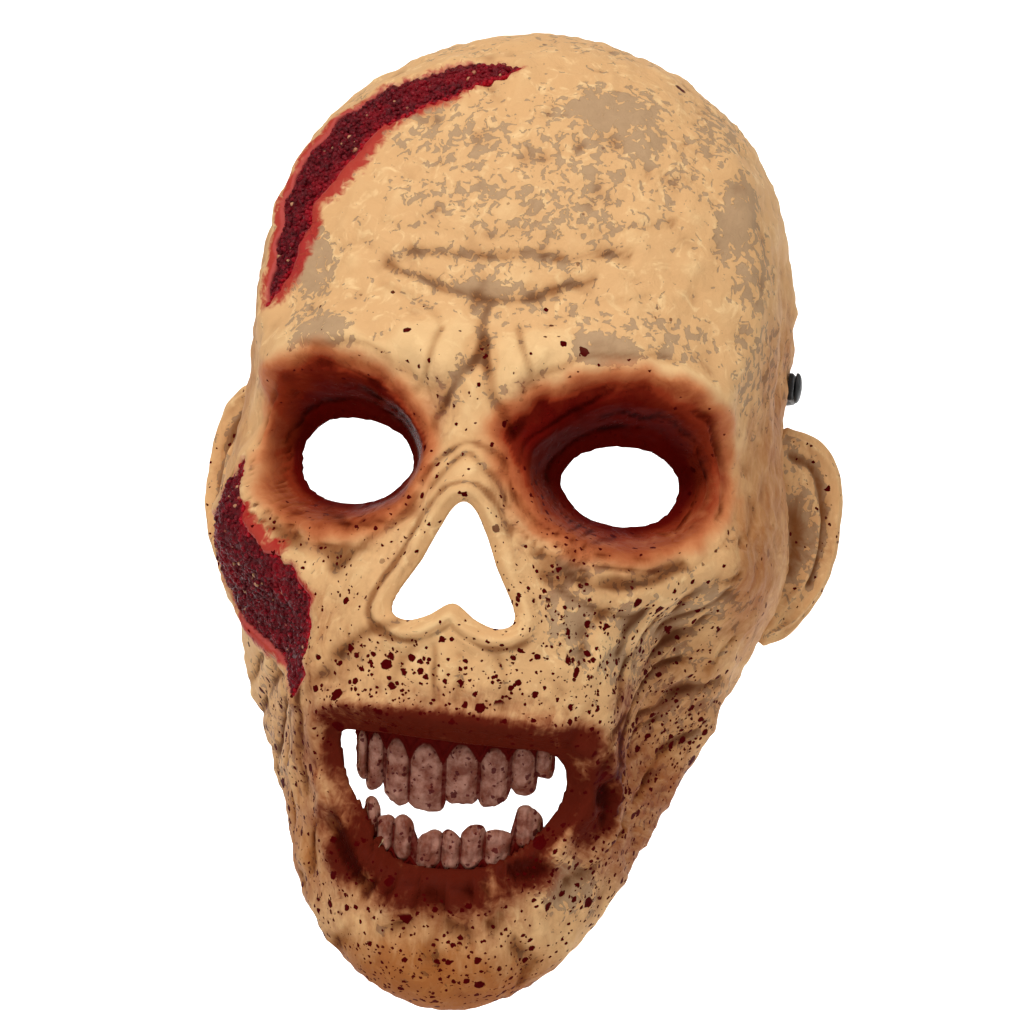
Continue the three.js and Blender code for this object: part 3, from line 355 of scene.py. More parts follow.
# Wrinkles in front view: path in mm, half width, depth
WRINKLES = [
    ([(-60.9, 14.5), (-53, 21.5), (-42, 26), (-31, 23.8), (-21, 17.5), (-13.5, 9)], 1.7, 0.6),
    ([(9.5, 12), (21.4, 21.8), (33, 26), (45, 26.3), (58.5, 20.3), (64, 8)], 1.7, 0.6),
    ([(-46.4, 29.2), (-34.8, 30.5), (-23.4, 26), (-13, 20.5)], 1.7, 0.7),
    ([(12, 21), (20, 28.8), (33, 33.5), (48, 33)], 1.7, 0.7),
    ([(-25.8, 59.4), (-9.7, 58.2), (7.1, 59.2), (19.3, 60.1), (33.3, 62.2)], 1.9, 0.75),
    ([(-30.8, 53.4), (-20.1, 51.4), (-11.6, 47.6), (-4.8, 45.2)], 2.0, 0.8),
    ([(-5.5, 45.2), (6.4, 46.8), (15.9, 51), (26.5, 54.4)], 2.0, 0.8),
    ([(-1.6, 64.6), (22, 67.5), (46.1, 73.6)], 2.0, 0.4),
    ([(-34, 66), (-18, 64.5), (-4, 64)], 2.0, 0.35),
    ([(-31.3, 48.9), (-22, 44), (-13.9, 38.4)], 2.0, 0.45),
    ([(16, 41), (28, 47.5), (40, 52)], 2.0, 0.35),
    ([(-2.6, 43), (-2.2, 33), (-4.5, 24.1), (-7.4, 18.9), (-10.1, 13.6), (-11.1, 10.2)], 1.8, 0.95),
    ([(-1.3, 34.6), (0.7, 26.8), (5.6, 17.3), (8.8, 9.9)], 1.8, 0.95),
    ([(-12, 36), (-13.5, 27), (-16.5, 20)], 1.7, 0.8),
    ([(8, 38), (11, 29), (15, 22)], 1.7, 0.8),
    ([(-10.8, -3.6), (-7.1, 2.8), (-0.1, 6.9), (7.7, 2.4), (13, -6.5), (20.6, -15.2), (31.6, -23.6)],
     1.3, 1.0),
    ([(-8.1, -5), (-4.3, 0.5), (0.4, 3.1), (6.3, -1.1), (10.5, -8.4)], 1.2, 0.9),
    ([(-12.5, -8), (-19, -18), (-26, -25), (-34, -30)], 1.7, 0.9),
    ([(68.6, -21), (63.7, -25.6), (59.1, -28.9), (57.3, -32.8)], 1.6, 1.3),
    ([(67.6, -26.7), (64.2, -32.2), (59.9, -35.8), (55.3, -40.7)], 1.7, 1.5),
    ([(66.1, -35.6), (64.4, -38.6), (58.5, -43.2), (55.1, -46.7)], 1.6, 1.4),
    ([(71, -42), (68.4, -46.1), (66.3, -48.8)], 1.5, 1.0),
    ([(62.7, -47.6), (58.5, -51), (53.4, -55.2)], 1.6, 1.3),
    ([(69.1, -51.5), (64.3, -55.7), (58.3, -61.4), (53.6, -64.9)], 1.6, 1.3),
    ([(47, -33), (42, -38), (39, -45)], 1.6, 1.1),
    ([(52, -37), (46, -43), (42, -51), (40, -58)], 1.6, 1.2),
    ([(36, -33), (32, -39), (29, -46)], 1.6, 0.9),
    ([(58, -66), (52, -72), (47, -80), (44, -90)], 1.8, 1.3),
    ([(63, -66), (57, -76), (52, -86)], 1.8, 1.1),
    ([(50, -58), (46, -66), (42, -74), (39, -86)], 2.0, 1.5),
    ([(44, -62), (39, -68), (36.5, -76)], 1.8, 1.3),
    ([(47, -94), (41, -102), (34, -110)], 1.8, 0.9),
    ([(-13, -43), (-20, -47), (-27, -53), (-32, -62)], 2.2, 0.7),
    ([(-36, -62), (-38, -72), (-39.5, -82), (-38, -92)], 1.9, 1.4),
    ([(-42, -66), (-45, -76), (-47, -88), (-45, -98)], 1.7, 1.2),
    ([(-48, -62), (-52, -72), (-54, -84), (-51, -94)], 1.7, 1.2),
    ([(-54, -60), (-59, -69), (-61, -80)], 1.6, 1.1),
    ([(-60, -58), (-65, -66), (-67, -76)], 1.6, 0.9),
    ([(-33, -100), (-36, -106), (-36, -113)], 1.7, 0.9),
    ([(-45, -101), (-43, -110), (-38, -118)], 1.7, 0.9),
    ([(-3, -49), (-3.5, -56), (-2.5, -62)], 1.5, 0.7),
    ([(4, -49), (4.5, -56), (3.5, -62)], 1.5, 0.7),
    ([(-9, -50), (-12, -57), (-12, -63)], 1.5, 0.5),
    ([(11, -50), (13, -56), (13, -63)], 1.5, 0.5),
    ([(-14.9, -123.8), (0.4, -123.1), (15.1, -120.4)], 2.2, 1.5),
    ([(-22, -128), (-27, -134), (-26, -140)], 2.2, 0.8),
    ([(20, -125), (24, -131), (22, -138)], 2.2, 0.8),
    ([(-6, -129), (0, -131.5), (7, -129)], 2.0, 0.7),
    ([(-40, -14), (-31, -19), (-20, -17)], 1.5, 0.9),
    ([(-46, -20), (-34, -25), (-19, -23)], 1.5, 0.7),
    ([(18, -20), (30, -26), (44, -27), (56, -20)], 1.6, 1.0),
    ([(20, -26), (32, -33), (47, -34)], 1.5, 0.8),
]

# Ridges and pits round the mouth and elsewhere: path, half width, rise
RIDGES = [
    ([(-62, 18), (-53.5, 26), (-42, 30), (-30, 27.5), (-18.5, 20), (-11.5, 11)], 3.2, 1.1),
    ([(9, 15), (20.5, 25.3), (33, 30), (46, 30.3), (60.5, 24), (67, 11)], 3.2, 1.1),
    ([(-18, 33), (-12.5, 25.8)], 5.5, 2.0),
    ([(12, 33), (9.6, 24.5)], 5.5, 2.0),
    ([(37, -70), (41.5, -79), (44.1, -91.7), (40, -101)], 3.2, 2.6),
    ([(33, -71), (36.5, -80), (37.5, -90)], 1.8, 1.1),
    ([(30.3, -99.8), (29, -107), (27.4, -113.2)], 2.6, 2.2),
    ([(-29.1, -99.6), (-24.9, -107.3), (-18.3, -114.8)], 2.6, -3.0),
    ([(-32.5, -94), (-33.5, -101), (-29.5, -108)], 2.0, 1.5),
    ([(18.1, -105.5), (24, -106), (29.0, -104.8)], 2.4, -2.6),
    ([(41.5, -82), (41, -92)], 1.9, -1.9),
    ([(-14.9, -115.2), (-0.2, -115.1), (13.7, -112)], 2.0, -1.2),
    ([(-14.5, -119.3), (0.1, -118.7), (14.5, -116.1)], 2.2, 1.9),
    ([(-24, -66), (-12, -68.5), (0, -69), (14, -68), (26, -66)], 2.6, 1.0),
    ([(-16, 31), (-8, 27)], 5.0, 1.6),
    ([(17.9, 34.2), (10, 28)], 5.0, 1.6),
    ([(-48, 28), (-36, 30), (-24, 26)], 4.0, 1.0),
    ([(24, 28), (38, 31), (52, 27)], 4.0, 1.0),
    ([(-33, -21), (-45, -19), (-56, -13)], 2.4, 1.0),
    ([(24, -20), (38, -21), (52, -16)], 2.4, 1.0),
    ([(-30, -26), (-44, -24), (-55, -19)], 2.4, -0.7),
    ([(22, -25), (38, -26.5), (54, -21)], 2.4, -0.7),
]

# Oval patches in front view: middle x and z, half width and half height in mm, strength
# Grey-brown bare places
TAUPE_PATCHES = [
    (24, 103, 17, 9, 1.25), (33, 95, 10, 9, 1.1), (16, 90, 30, 22, 0.66), (-8, 74, 36, 9, 0.66),
    (44, 84, 14, 18, 0.5), (-16, 92, 26, 12, 0.72), (10, 74, 32, 14, 0.64), (-43, 32, 10, 7, 1.35),
    (-53, 52, 8, 12, 1.0), (-50, 38, 9, 8, 0.7), (30, 34, 10, 6, 1.4), (45, 40, 16, 8, 0.75),
    (24, 44, 14, 7, 0.55), (60, 76, 6, 13, 1.4), (66, 60, 7, 16, 0.8), (70, 36, 10, 20, 0.7),
    (52, 100, 10, 12, 0.75), (20, 128, 46, 10, 0.5), (-30, 122, 30, 10, 0.45), (58, 112, 16, 12, 0.6),
    (41, -35, 5, 5, 0.7), (39, -44, 5, 6, 0.7), (68, -30, 10, 6, 0.7), (58, -37, 10, 6, 0.4),
    (29, -21, 7, 4, 0.9), (27, -36, 7, 9, 0.7), (31, -110, 8, 8, 1.2), (-52, 100, 14, 10, 0.4),
    (60, -60, 12, 16, 0.35), (-1, 50, 14, 4, 1.0), (0, 40, 7, 8, 0.6), (-62, -62, 12, 14, 0.3),
    (-56, -92, 8, 20, 0.3), (0, 57, 40, 8, 0.45), (-8, 22, 6, 10, 0.7), (9, 22, 6, 10, 0.6),
    (60, 10, 6, 10, 0.6), (0, 66, 64, 74, 0.3),
]
# Blood spatter
SPATTER_PATCHES = [
    (-8, -56, 22, 10, 1.35), (-2, -56, 32, 11, 1.0), (30, -50, 18, 20, 1.0), (46, -72, 15, 22, 1.0),
    (2, -134, 34, 16, 1.0), (-25, -120, 16, 16, 0.7), (22, -28, 14, 12, 0.6), (52, -42, 16, 16, 0.8),
    (-48, -90, 16, 30, 0.7), (38, -108, 16, 18, 0.85), (28, -10, 16, 8, 0.25), (-30, -34, 14, 12, 0.45),
    (0, -40, 60, 70, 0.22), (60, -66, 10, 18, 0.9), (-24, -64, 16, 9, 0.8), (-40, -70, 14, 14, 0.6),
]
# Red-brown flush round the mouth and in the folds
FLUSH_PATCHES = [
    (0, -68, 36, 5, 1.35), (-26, -70, 8, 6, 1.1), (30, -70, 9, 7, 1.3), (41, -88, 3.2, 9, 1.5),
    (4, -62, 30, 6, 0.55), (2, -104, 32, 10, 0.9), (-34, -82, 8, 22, 0.66), (-40, -72, 9, 18, 0.5),
    (37, -86, 6, 18, 1.35), (43, -78, 6, 18, 0.95), (43, -60, 7, 10, 0.75), (-1, -112, 20, 6, 1.3),
    (22, -106, 10, 7, 1.3), (-24, -107, 8, 10, 1.35), (-30, -98, 8, 10, 0.9), (-31, -62, 12, 10, 0.5),
    (-50, -70, 14, 22, 0.4), (2, -120, 24, 6, 0.6), (-28, -120, 12, 12, 0.5), (56, -56, 12, 20, 0.45),
    (52, -78, 8, 20, 0.6), (-36, -44, 14, 14, 0.3), (30, -30, 20, 10, 0.3), (-18, -24, 10, 12, 0.3),
    (-1, -114, 24, 6.5, 1.35), (-25, -107, 7, 11, 1.35), (22, -106, 9, 7, 1.35), (0, -118, 30, 8, 0.7),
    (14, -14, 8, 12, 0.35), (-11, 14, 6, 12, 0.55), (12, 13, 6, 12, 0.7), (-60, -84, 10, 22, 0.4),
    (62, 20, 14, 8, 0.3), (-62, 18, 8, 10, 0.55), (44, -100, 8, 14, 0.6), (34, -98, 8, 6, 0.6),
    (14, -124, 6, 8, 0.45),
]
# Brown wash that darkens the lower face, and painted shade on the lower face and the sides of the head
TAN_AND_SHADE_PATCHES = [
    (0, -96, 60, 34, 0.55), (0, -143, 44, 20, 1.15), (-44, -108, 16, 26, 0.8), (52, -88, 18, 36, 0.8),
    (-30, -50, 18, 18, 0.45), (-36, -76, 8, 18, 0.5), (30, -70, 18, 14, 0.4), (78, 10, 10, 60, 0.7),
    (74, -20, 10, 30, 0.8), (-76, 30, 8, 60, 0.6), (0, -78, 44, 12, 0.7), (62, -58, 14, 22, 0.6),
]
# Skin creped into a net of small folds
CREPE_PATCHES = [
    (52, -48, 20, 24, 1.0), (32, -42, 12, 16, 0.8), (48, -84, 13, 24, 0.9), (-46, -80, 13, 28, 0.75),
    (-30, -58, 10, 12, 0.4), (0, -136, 34, 10, 0.25), (38, -112, 12, 12, 0.4), (-32, -114, 10, 12, 0.5),
    (66, -10, 8, 20, 0.4),
]
# Red spray on the skin along the wounds' edges
SPRAY_PATCHES = [
    (-57, -22, 18, 7, 1.2), (-40, -36, 8, 12, 0.7), (-66, -56, 20, 8, 1.1), (-46, 82, 16, 18, 0.8),
    (-58, 56, 8, 22, 0.9), (-24, 100, 18, 8, 0.5),
]
# Ridges round the mouth that the red-brown leaves out
BARE_RIDGES = [
    (-36.5, -103, 3.6, 9, 0.8), (14, -121, 10, 3, 0.5), (-6, -121, 14, 2.6, 0.6), (33, -101, 4.5, 7, 0.75),
    (44, -86, 3.2, 12, 0.8), (13, -112, 3, 5, 0.5),
]
PATCH_BACK = 20.0

CREPE_SIZE = 9.0
CREPE_RISE = 1.15
CREPE_STRETCH = 3.2
# Turn of the creping on the left cheek in radians, width of a fold in wave heights, share that sinks
CREPE_LEAN = 0.8
CREPE_FOLD = 0.42
CREPE_LEVEL = 0.4
# Share of the creping left on the sides, and how near an opening the wrinkles fade
SIDE_CREPE = 0.4
EDGE_CALM = 3.0
INSIDE_PAINT_START = 0.86
MOUTH_RING = 12.5
# Prick in the crown: place in mm, and the soft edge of its radius in metres
PUNCTURE = (39.7, 114.4)
PUNCTURE_EDGE = (0.0021, 0.0014)

# Where the grey-brown shows through, and the sockets' colours from the rim to the eye hole; the darkest is
# also painted shade under the brow
FLAKE_EDGE = (0.735, 0.765)
SOCKET_BANDS = [("salmon", 0.03, 0.45), ("socket", 0.3, 0.66), ("socket_deep", 0.6, 0.95),
                ("socket_dark_and_shade", 0.95, 1.2)]
# Drops of blood: cells a metre, shift of the pattern, share of the density, widest radius in cells
SKIN_DROPS = [(230.0, (0.3, 0.1, 0.7), 0.5, 0.48), (430.0, (0.7, 0.4, 0.1), 0.9, 0.5),
              (780.0, (0.9, 0.5, 0.2), 1.1, 0.5)]
TOOTH_DROPS = [(420.0, (0.4, 0.2, 0.6), 1.0, 0.5), (800.0, (0.1, 0.8, 0.3), 1.0, 0.5)]
DROP_SHAKE_SCALE = 900.0
DROP_SHAKE = 0.0011
DROP_EDGE = (-0.02, 0.03)
DROP_CHOICE = (-0.02, 0.02)


def to_row(points):
    """Points of the face's frame in mm, brought to the row's frame in metres."""
    return (np.asarray(points, float) + (0.0, FACE_DEPTH + SEAT_RISE, 0.0)) * MM


def ease(value):
    """Smooth step from 0 to 1: t squared times (3 - 2 t)."""
    t = np.clip(value, 0.0, 1.0)
    return t * t * (3.0 - 2.0 * t)


def bell(value):
    """exp(-value squared)."""
    return np.exp(-np.asarray(value) ** 2)


def cubic(a, b, c, d, t):
    """Smooth curve through b and c at t 0 and 1, with its slopes from a and d."""
    return 0.5 * (2 * b + (c - a) * t + (2 * a - 5 * b + 4 * c - d) * t * t
                  + (3 * b - a - 3 * c + d) * t ** 3)


def smooth_line(points, steps, closed=False):
    """Points joined by cubic curves, with this many steps between each two."""
    p = np.asarray(points, float)
    if len(p) < 2:
        return p
    if closed:
        a, b, c, d = np.roll(p, 1, 0), p, np.roll(p, -1, 0), np.roll(p, -2, 0)
    else:
        q = np.vstack([2 * p[0] - p[1], p, 2 * p[-1] - p[-2]])
        a, b, c, d = q[:-3], q[1:-2], q[2:-1], q[3:]
    t = (np.arange(steps) / steps)[None, :, None]
    line = cubic(a[:, None], b[:, None], c[:, None], d[:, None], t).reshape(-1, p.shape[1])
    return line if closed else np.vstack([line, p[-1:]])


def resample(line, count):
    """A line's points at this many even shares of its length."""
    p = np.asarray(line, float)
    run = np.concatenate([[0.0], np.cumsum(np.linalg.norm(np.diff(p, axis=0), axis=1))])
    at = np.linspace(0.0, run[-1], count)
    return np.stack([np.interp(at, run, p[:, k]) for k in range(p.shape[1])], -1)


def from_foot(points, a, b):
    """Vector from the nearest place of the straight piece from a to b to each point."""
    step = b - a
    t = np.clip(((points - a) @ step) / max(step @ step, TINY), 0.0, 1.0)
    return points - a - t[..., None] * step


def line_distance(points, line):
    """Least distance from each point to the straight pieces of a line."""
    best = np.linalg.norm(points - line[0], axis=-1)
    for a, b in zip(line[:-1], line[1:]):
        best = np.minimum(best, np.linalg.norm(from_foot(points, a, b), axis=-1))
    return best


def is_inside(points, outline):
    """Whether a ray from each point of a plane crosses the closed outline an odd number of times."""
    x, z = points[..., 0], points[..., 1]
    inside = np.zeros(x.shape, bool)
    for (ax, az), (bx, bz) in zip(outline, np.roll(outline, -1, 0)):
        if az == bz:
            continue
        crossing = ((az > z) != (bz > z)) & (x < ax + (bx - ax) * (z - az) / (bz - az))
        inside ^= crossing
    return inside


def outline_distance(points, outline):
    """Distance in front view to a closed outline, negative inside it."""
    distance = line_distance(points, np.vstack([outline, outline[:1]]))
    return np.where(is_inside(points, outline), -distance, distance)


def nearest_on_outline(points, outline):
    """Nearest place of the closed outline to each point in front view."""
    best = np.full(len(points), np.inf)
    found = np.zeros_like(points)
    for a, b in zip(outline, np.roll(outline, -1, 0)):
        away = from_foot(points, a, b)
        distance = np.linalg.norm(away, axis=1)
        closer = distance < best
        best[closer] = distance[closer]
        found[closer] = (points - away)[closer]
    return found


def section_sizes(turn):
    """Sizes of the section at each turn: cubic curves through the table's rows, alike on both sides."""
    degrees = np.degrees(np.arcsin(np.clip(np.sin(turn), -1, 1)))
    place = (degrees - SECTIONS[0, 0]) / SECTION_STEP
    last = len(SECTIONS) - 1
    index = np.clip(np.floor(place).astype(int), 0, last - 1)
    t = (place - index)[..., None]

    def row(i):
        """The table's row at an index, mirrored past its two ends."""
        mirrored = np.where(i < 0, -i, np.where(i > last, 2 * last - i, i))
        return SECTIONS[mirrored, 1:]

    value = cubic(row(index - 1), row(index), row(index + 1), row(index + 2), t)
    reach, side, square, rim = (value[..., k] for k in range(4))
    side, rim = side * FACE_DEPTH, rim * FACE_DEPTH
    up = np.sin(turn)
    dx, dz = HALF_WIDTH * np.cos(turn), up * np.where(up > 0, CROWN_HEIGHT, CHIN_DROP)
    radius = reach * np.hypot(dx, dz)
    front = side + FACE_DEPTH
    back = np.maximum(radius, front)
    behind = rim - side
    deep = np.where(behind > 0, back, front)
    rim_radius = radius * (1 - np.abs(behind / deep) ** square) ** (1 / square)
    rim_angle = np.pi / 2 + np.arctan2(behind, rim_radius)
    return {"reach": reach, "side": side, "square": square, "rim": rim, "dx": dx, "dz": dz,
            "radius": radius, "front": front, "back": back, "rim_angle": rim_angle}


def base_point(turn, share):
    """Boxy ellipse of the section at this turn, at this share of the way from the face to the back edge."""
    s = section_sizes(turn)
    angle = share * s["rim_angle"]
    deep = np.where(np.cos(angle) > 0, s["front"], s["back"])
    radius = (np.abs(np.sin(angle) / s["radius"]) ** s["square"]
              + np.abs(np.cos(angle) / deep) ** s["square"]) ** (-1 / s["square"])
    out = radius * np.sin(angle) / np.hypot(s["dx"], s["dz"])
    return np.stack([out * s["dx"], s["side"] - radius * np.cos(angle), POLE_Z + out * s["dz"]], -1)


def turn_of(x, z):
    """Turn about the nose centre of a front-view place."""
    up = z - POLE_Z
    return np.arctan2(up / np.where(up > 0, CROWN_HEIGHT, CHIN_DROP), x / HALF_WIDTH)


def front_point(x, z):
    """The base surface's point at a front-view place."""
    x, z = np.broadcast_arrays(np.asarray(x, float), np.asarray(z, float))
    turn = turn_of(x, z)
    s = section_sizes(turn)
    ratio = np.minimum(np.hypot(x, z - POLE_Z) / s["radius"], WIDEST)
    depth = s["front"] * (1 - ratio ** s["square"]) ** (1 / s["square"])
    return base_point(turn, np.arctan2(ratio * s["radius"], depth) / s["rim_angle"])


def turn_and_share(points):
    """Turn of each point about the nose centre, and its share of the way to the back edge."""
    turn = turn_of(points[..., 0], points[..., 2])
    s = section_sizes(turn)
    from_middle = np.hypot(points[..., 0], points[..., 2] - POLE_Z)
    angle = np.pi / 2 + np.arctan2(points[..., 1] - s["side"], from_middle)
    return turn, angle / s["rim_angle"]


def drop_to_face(points):
    """The base surface's point on the line from each point to its section's centre."""
    return base_point(*turn_and_share(points))


def chart(points):
    """Flat chart of base points: share of the way to the back edge, laid out along the turn."""
    turn, share = turn_and_share(points)
    return np.stack([share * np.cos(turn), share * np.sin(turn)], -1)


def side_point(side, y, z):
    """Point on the side of the head at a depth and a height, its turn found by repeated correction."""
    up = z - POLE_Z
    rise = up / np.where(up > 0, CROWN_HEIGHT, CHIN_DROP)
    turn = np.arcsin(np.clip(rise, -1, 1))
    radius = np.ones_like(turn)
    for _ in range(SIDE_ROUNDS):
        s = section_sizes(turn)
        deep = np.where(y > s["side"], s["back"], s["front"])
        radius = s["reach"] * (1 - np.abs((y - s["side"]) / deep) ** s["square"]) ** (1 / s["square"])
        turn = np.arcsin(np.clip(rise / radius, -1, 1))
    return np.stack([side * radius * HALF_WIDTH * np.cos(turn), y + 0 * turn, z + 0 * turn], -1)


def grid_normals(grid):
    """Unit normals of a grid of points: cross product of the neighbours' differences."""
    across = np.empty_like(grid)
    across[:, 1:-1] = grid[:, 2:] - grid[:, :-2]
    across[:, 0], across[:, -1] = grid[:, 1] - grid[:, 0], grid[:, -1] - grid[:, -2]
    up = np.empty_like(grid)
    up[1:-1] = grid[2:] - grid[:-2]
    up[0], up[-1] = grid[1] - grid[0], grid[-1] - grid[-2]
    normal = np.cross(across, up)
    return normal / np.maximum(np.linalg.norm(normal, axis=-1, keepdims=True), TINY)


def waves(points, size, seed, count=24):
    """Sum of sine waves in random directions with wavelengths near size, about -1 to 1."""
    rng = np.random.default_rng(seed)
    way = rng.normal(size=(count, 3))
    way /= np.linalg.norm(way, axis=1, keepdims=True)
    pace = 2 * np.pi / (size * rng.uniform(0.7, 1.5, count))
    start = rng.uniform(0, 2 * np.pi, count)
    total = np.zeros(points.shape[:-1])
    for direction, speed, phase in zip(way, pace, start):
        total += np.sin((points @ direction) * speed + phase)
    return total / math.sqrt(count / 2)


def patches(points, rows):
    """Strongest of the soft oval patches: strength times exp(-d cubed), d the distance in half sizes."""
    total = np.zeros(points.shape[:-1])
    front = points[..., 1] < PATCH_BACK
    for x, z, wide, high, strength in rows:
        reach = ((points[..., 0] - x) / wide) ** 2 + ((points[..., 2] - z) / high) ** 2
        total = np.maximum(total, strength * np.exp(-reach ** 1.5) * front)
    return total


def placed(outline, size, middle, side=1):
    """A closed outline in mm in front view, smooth, from its shares."""
    points = [(side * (middle[0] + x * size[0]), middle[1] + z * size[1]) for x, z in outline]
    return smooth_line(points, OUTLINE_STEPS, True)


EYES = [placed(EYE_OUTLINE, np.add(EYE_SIZE, EYE_GROWTH[side]), (EYE_SPACING / 2, 0), side)
        for side in (1, -1)]
SOCKETS = [placed(SOCKET_OUTLINE, EYE_SIZE, (EYE_SPACING / 2, 0), side) for side in (1, -1)]
NOSE = placed(NOSE_HALF + [(-x, z) for x, z in NOSE_HALF[-2:0:-1]], np.add(NOSE_SIZE, NOSE_GROWTH),
              (0, -NOSE_TOP))
MOUTH = placed(MOUTH_OUTLINE, np.add(MOUTH_SIZE, MOUTH_GROWTH), (MOUTH_SHIFT, -MOUTH_TOP))
OPENINGS = EYES + [NOSE, MOUTH]


def torn_edge(points, seed, jag):
    """A wound's edge on the base surface, its front-view line roughened by waves of height jag."""
    line = resample(smooth_line(points, 6), TORN_STEPS)
    lifted = front_point(*line.T)
    ends = np.sin(np.linspace(0, np.pi, TORN_STEPS)) ** 0.5
    shake = np.stack([waves(lifted, size, seed + k) for k, size in enumerate(TORN_LENGTHS)], -1)
    return front_point(*(line + shake * (jag * ends)[:, None]).T)


WOUNDS = {name: [torn_edge(*edge) for edge in edges] for name, edges in TORN_EDGES.items()}


def wound_distance(points):
    """Distance from the nearest wound's edge, negative inside it, at base points."""
    best = np.full(points.shape[:-1], FAR)
    flat = chart(points)
    for one, other in WOUNDS.values():
        loop = np.vstack([one, other[::-1]])
        distance = line_distance(points, np.vstack([loop, loop[:1]]))
        inside = is_inside(flat, chart(loop))
        best = np.minimum(best, np.where(inside, -distance, distance))
    return best


def lifted_line(path, steps=PATH_STEPS):
    """A front-view path in mm, smooth, on the base surface."""
    return front_point(*smooth_line(path, steps).T)


def body_relief(points):
    """Swellings and hollows: the sum of rise times exp(-(distance to the path / width) squared)."""
    out = np.zeros(points.shape[:-1])
    for _, path, width, rise, both in SWELLINGS:
        for side in (1, -1) if both else (1,):
            line = lifted_line([(side * x * HALF_WIDTH, z * FACE_HEIGHT) for x, z in path], 4)
            out += rise * RELIEF_RISE * bell(line_distance(points, line) / (width * HALF_WIDTH))
    return out


def forward_relief(points):
    """Moves along the way the face looks: the sockets sink from their rims to the eye holes, the nose
    opening has a bead and the lips roll out and tuck in at their edge."""
    front = points[..., 1] < OPENING_BACK
    flat = points[..., [0, 2]]
    forward = np.zeros(points.shape[:-1])
    for eye, rim in zip(EYES, SOCKETS):
        from_eye = np.maximum(outline_distance(flat, eye), 0)
        from_rim = -outline_distance(flat, rim)
        sink = SOCKET_DEPTH * (1 - ease(from_eye / np.maximum(from_eye + from_rim, TINY)))
        forward -= np.where(from_rim > 0, sink, 0)
    from_nose = outline_distance(flat, NOSE)
    forward += BEAD_RISE * bell((from_nose - BEAD_WIDTH) / BEAD_WIDTH)
    from_mouth = outline_distance(flat, MOUTH)
    forward += LIP_RISE * bell((from_mouth - LIP_WIDTH) / LIP_TUCK)
    forward -= LIP_TUCK * bell(np.maximum(from_mouth, 0) / LIP_TUCK)
    return np.where(front, forward, 0)


def profile(reach, rows):
    """Sum of bells at the places, with the widths and heights, of a table's rows."""
    return sum(height * bell((reach - place) / width) for place, width, height in rows)


def fine_relief(points, depth_share):
    """Wrinkles and ridges along their paths, and slow unevenness. Returns the rise and the painted shade of
    the creases.
    """
    rise = np.zeros(points.shape[:-1])
    crease = np.zeros(points.shape[:-1])
    shaken = points + STRAY * np.stack([waves(points, STRAY_LENGTH, 3 + k) for k in range(3)], -1)
    for path, width, depth in WRINKLES:
        reach = line_distance(shaken, lifted_line(path)) / width
        rise += depth_share * depth * profile(reach, WRINKLE_PROFILE)
        crease = np.maximum(crease, profile(reach, CREASE_PROFILE) * min(depth, CREASE_TOP))
    for path, width, height in RIDGES:
        distance = line_distance(points, lifted_line(path))
        rise += height * bell(distance / width)
        if height < 0:
            crease = np.maximum(crease, PIT_SHADE * bell(distance / width))
    from_nose = outline_distance(points[..., [0, 2]], NOSE)
    on_face = points[..., 1] < OPENING_BACK
    place, width, depth = NOSE_GROOVE
    groove = np.where(on_face, bell((from_nose - place) / width), 0)
    groove = groove * (0.85 + 0.2 * waves(points, 26.0, 23))
    rise += depth * groove
    place, width, height = NOSE_LEDGE
    rise += np.where(on_face, height * bell((from_nose - place) / width), 0)
    folds, dark = socket_folds(points)
    rise += folds + sum(height * waves(points, size, seed) for size, seed, height in LUMPS)
    return rise, np.max([crease, GROOVE_SHADE * groove, dark], axis=0)


def socket_folds(points):
    """Folds round the eye holes, each a bell across the share of the way to the socket's rim, fading
    in and out along its run. Returns the rise and how dark the painted shade in the hollows is."""
    flat = points[..., [0, 2]]
    rise = np.zeros(points.shape[:-1])
    dark = np.zeros(points.shape[:-1])
    for number, (eye, rim) in enumerate(zip(EYES, SOCKETS)):
        from_eye = outline_distance(flat, eye)
        from_rim = outline_distance(flat, rim)
        share = from_eye / np.maximum(from_eye - from_rim, TINY)
        share = share + FOLD_SWAY * waves(points, FOLD_REACH, 71 + number)
        near = (from_eye > 0) & (from_rim < FOLD_REACH) & (points[..., 1] < OPENING_BACK)
        low = ease((4 - flat[..., 1]) / 14)
        for k, (place, width, height) in enumerate(SOCKET_FOLDS):
            fade = np.clip(0.65 + 0.6 * waves(points, 30.0, 75 + 3 * k + number), 0, 1.2)
            if place > 1:
                fade = fade * low
            fold = np.where(near, bell((share - place) / width), 0) * fade
            rise += height * fold
            if height < 0:
                dark = np.maximum(dark, -height * fold)
    return rise, dark


def flow_field(points):
    """Coordinates across and along the skin's creping: upright in front view on the left and below,
    leaning outward on the left cheek."""
    x, y, z = points[..., 0], points[..., 1], points[..., 2]
    lean = CREPE_LEAN * ease(x / 35) * ease(-z / 25) * ease((z + 112) / 45)
    across = x * np.cos(lean) - z * np.sin(lean)
    along = x * np.sin(lean) + z * np.cos(lean)
    return np.stack([across, along / CREPE_STRETCH, y / 2], -1)


def crepe(points):
    """Net of narrow folds where a wave field in flow coordinates crosses zero. Returns the rise and
    how far a place lies in the hollows between the folds."""
    strength = patches(points, CREPE_PATCHES)
    net = bell(waves(flow_field(points), CREPE_SIZE, 91, 36) / CREPE_FOLD)
    return CREPE_RISE * strength * (net - CREPE_LEVEL), strength * (1 - net)


def wound_relief(distance):
    """The skin's torn lip outside the wounds and the sunk bed of the fill inside them."""
    lip = WOUND_LIP_RISE * bell((distance - WOUND_LIP_RISE) / (2 * WOUND_LIP_RISE))
    bed = BED_DEPTH * ease(-distance / BED_SLOPE + 0.15)
    return lip - bed


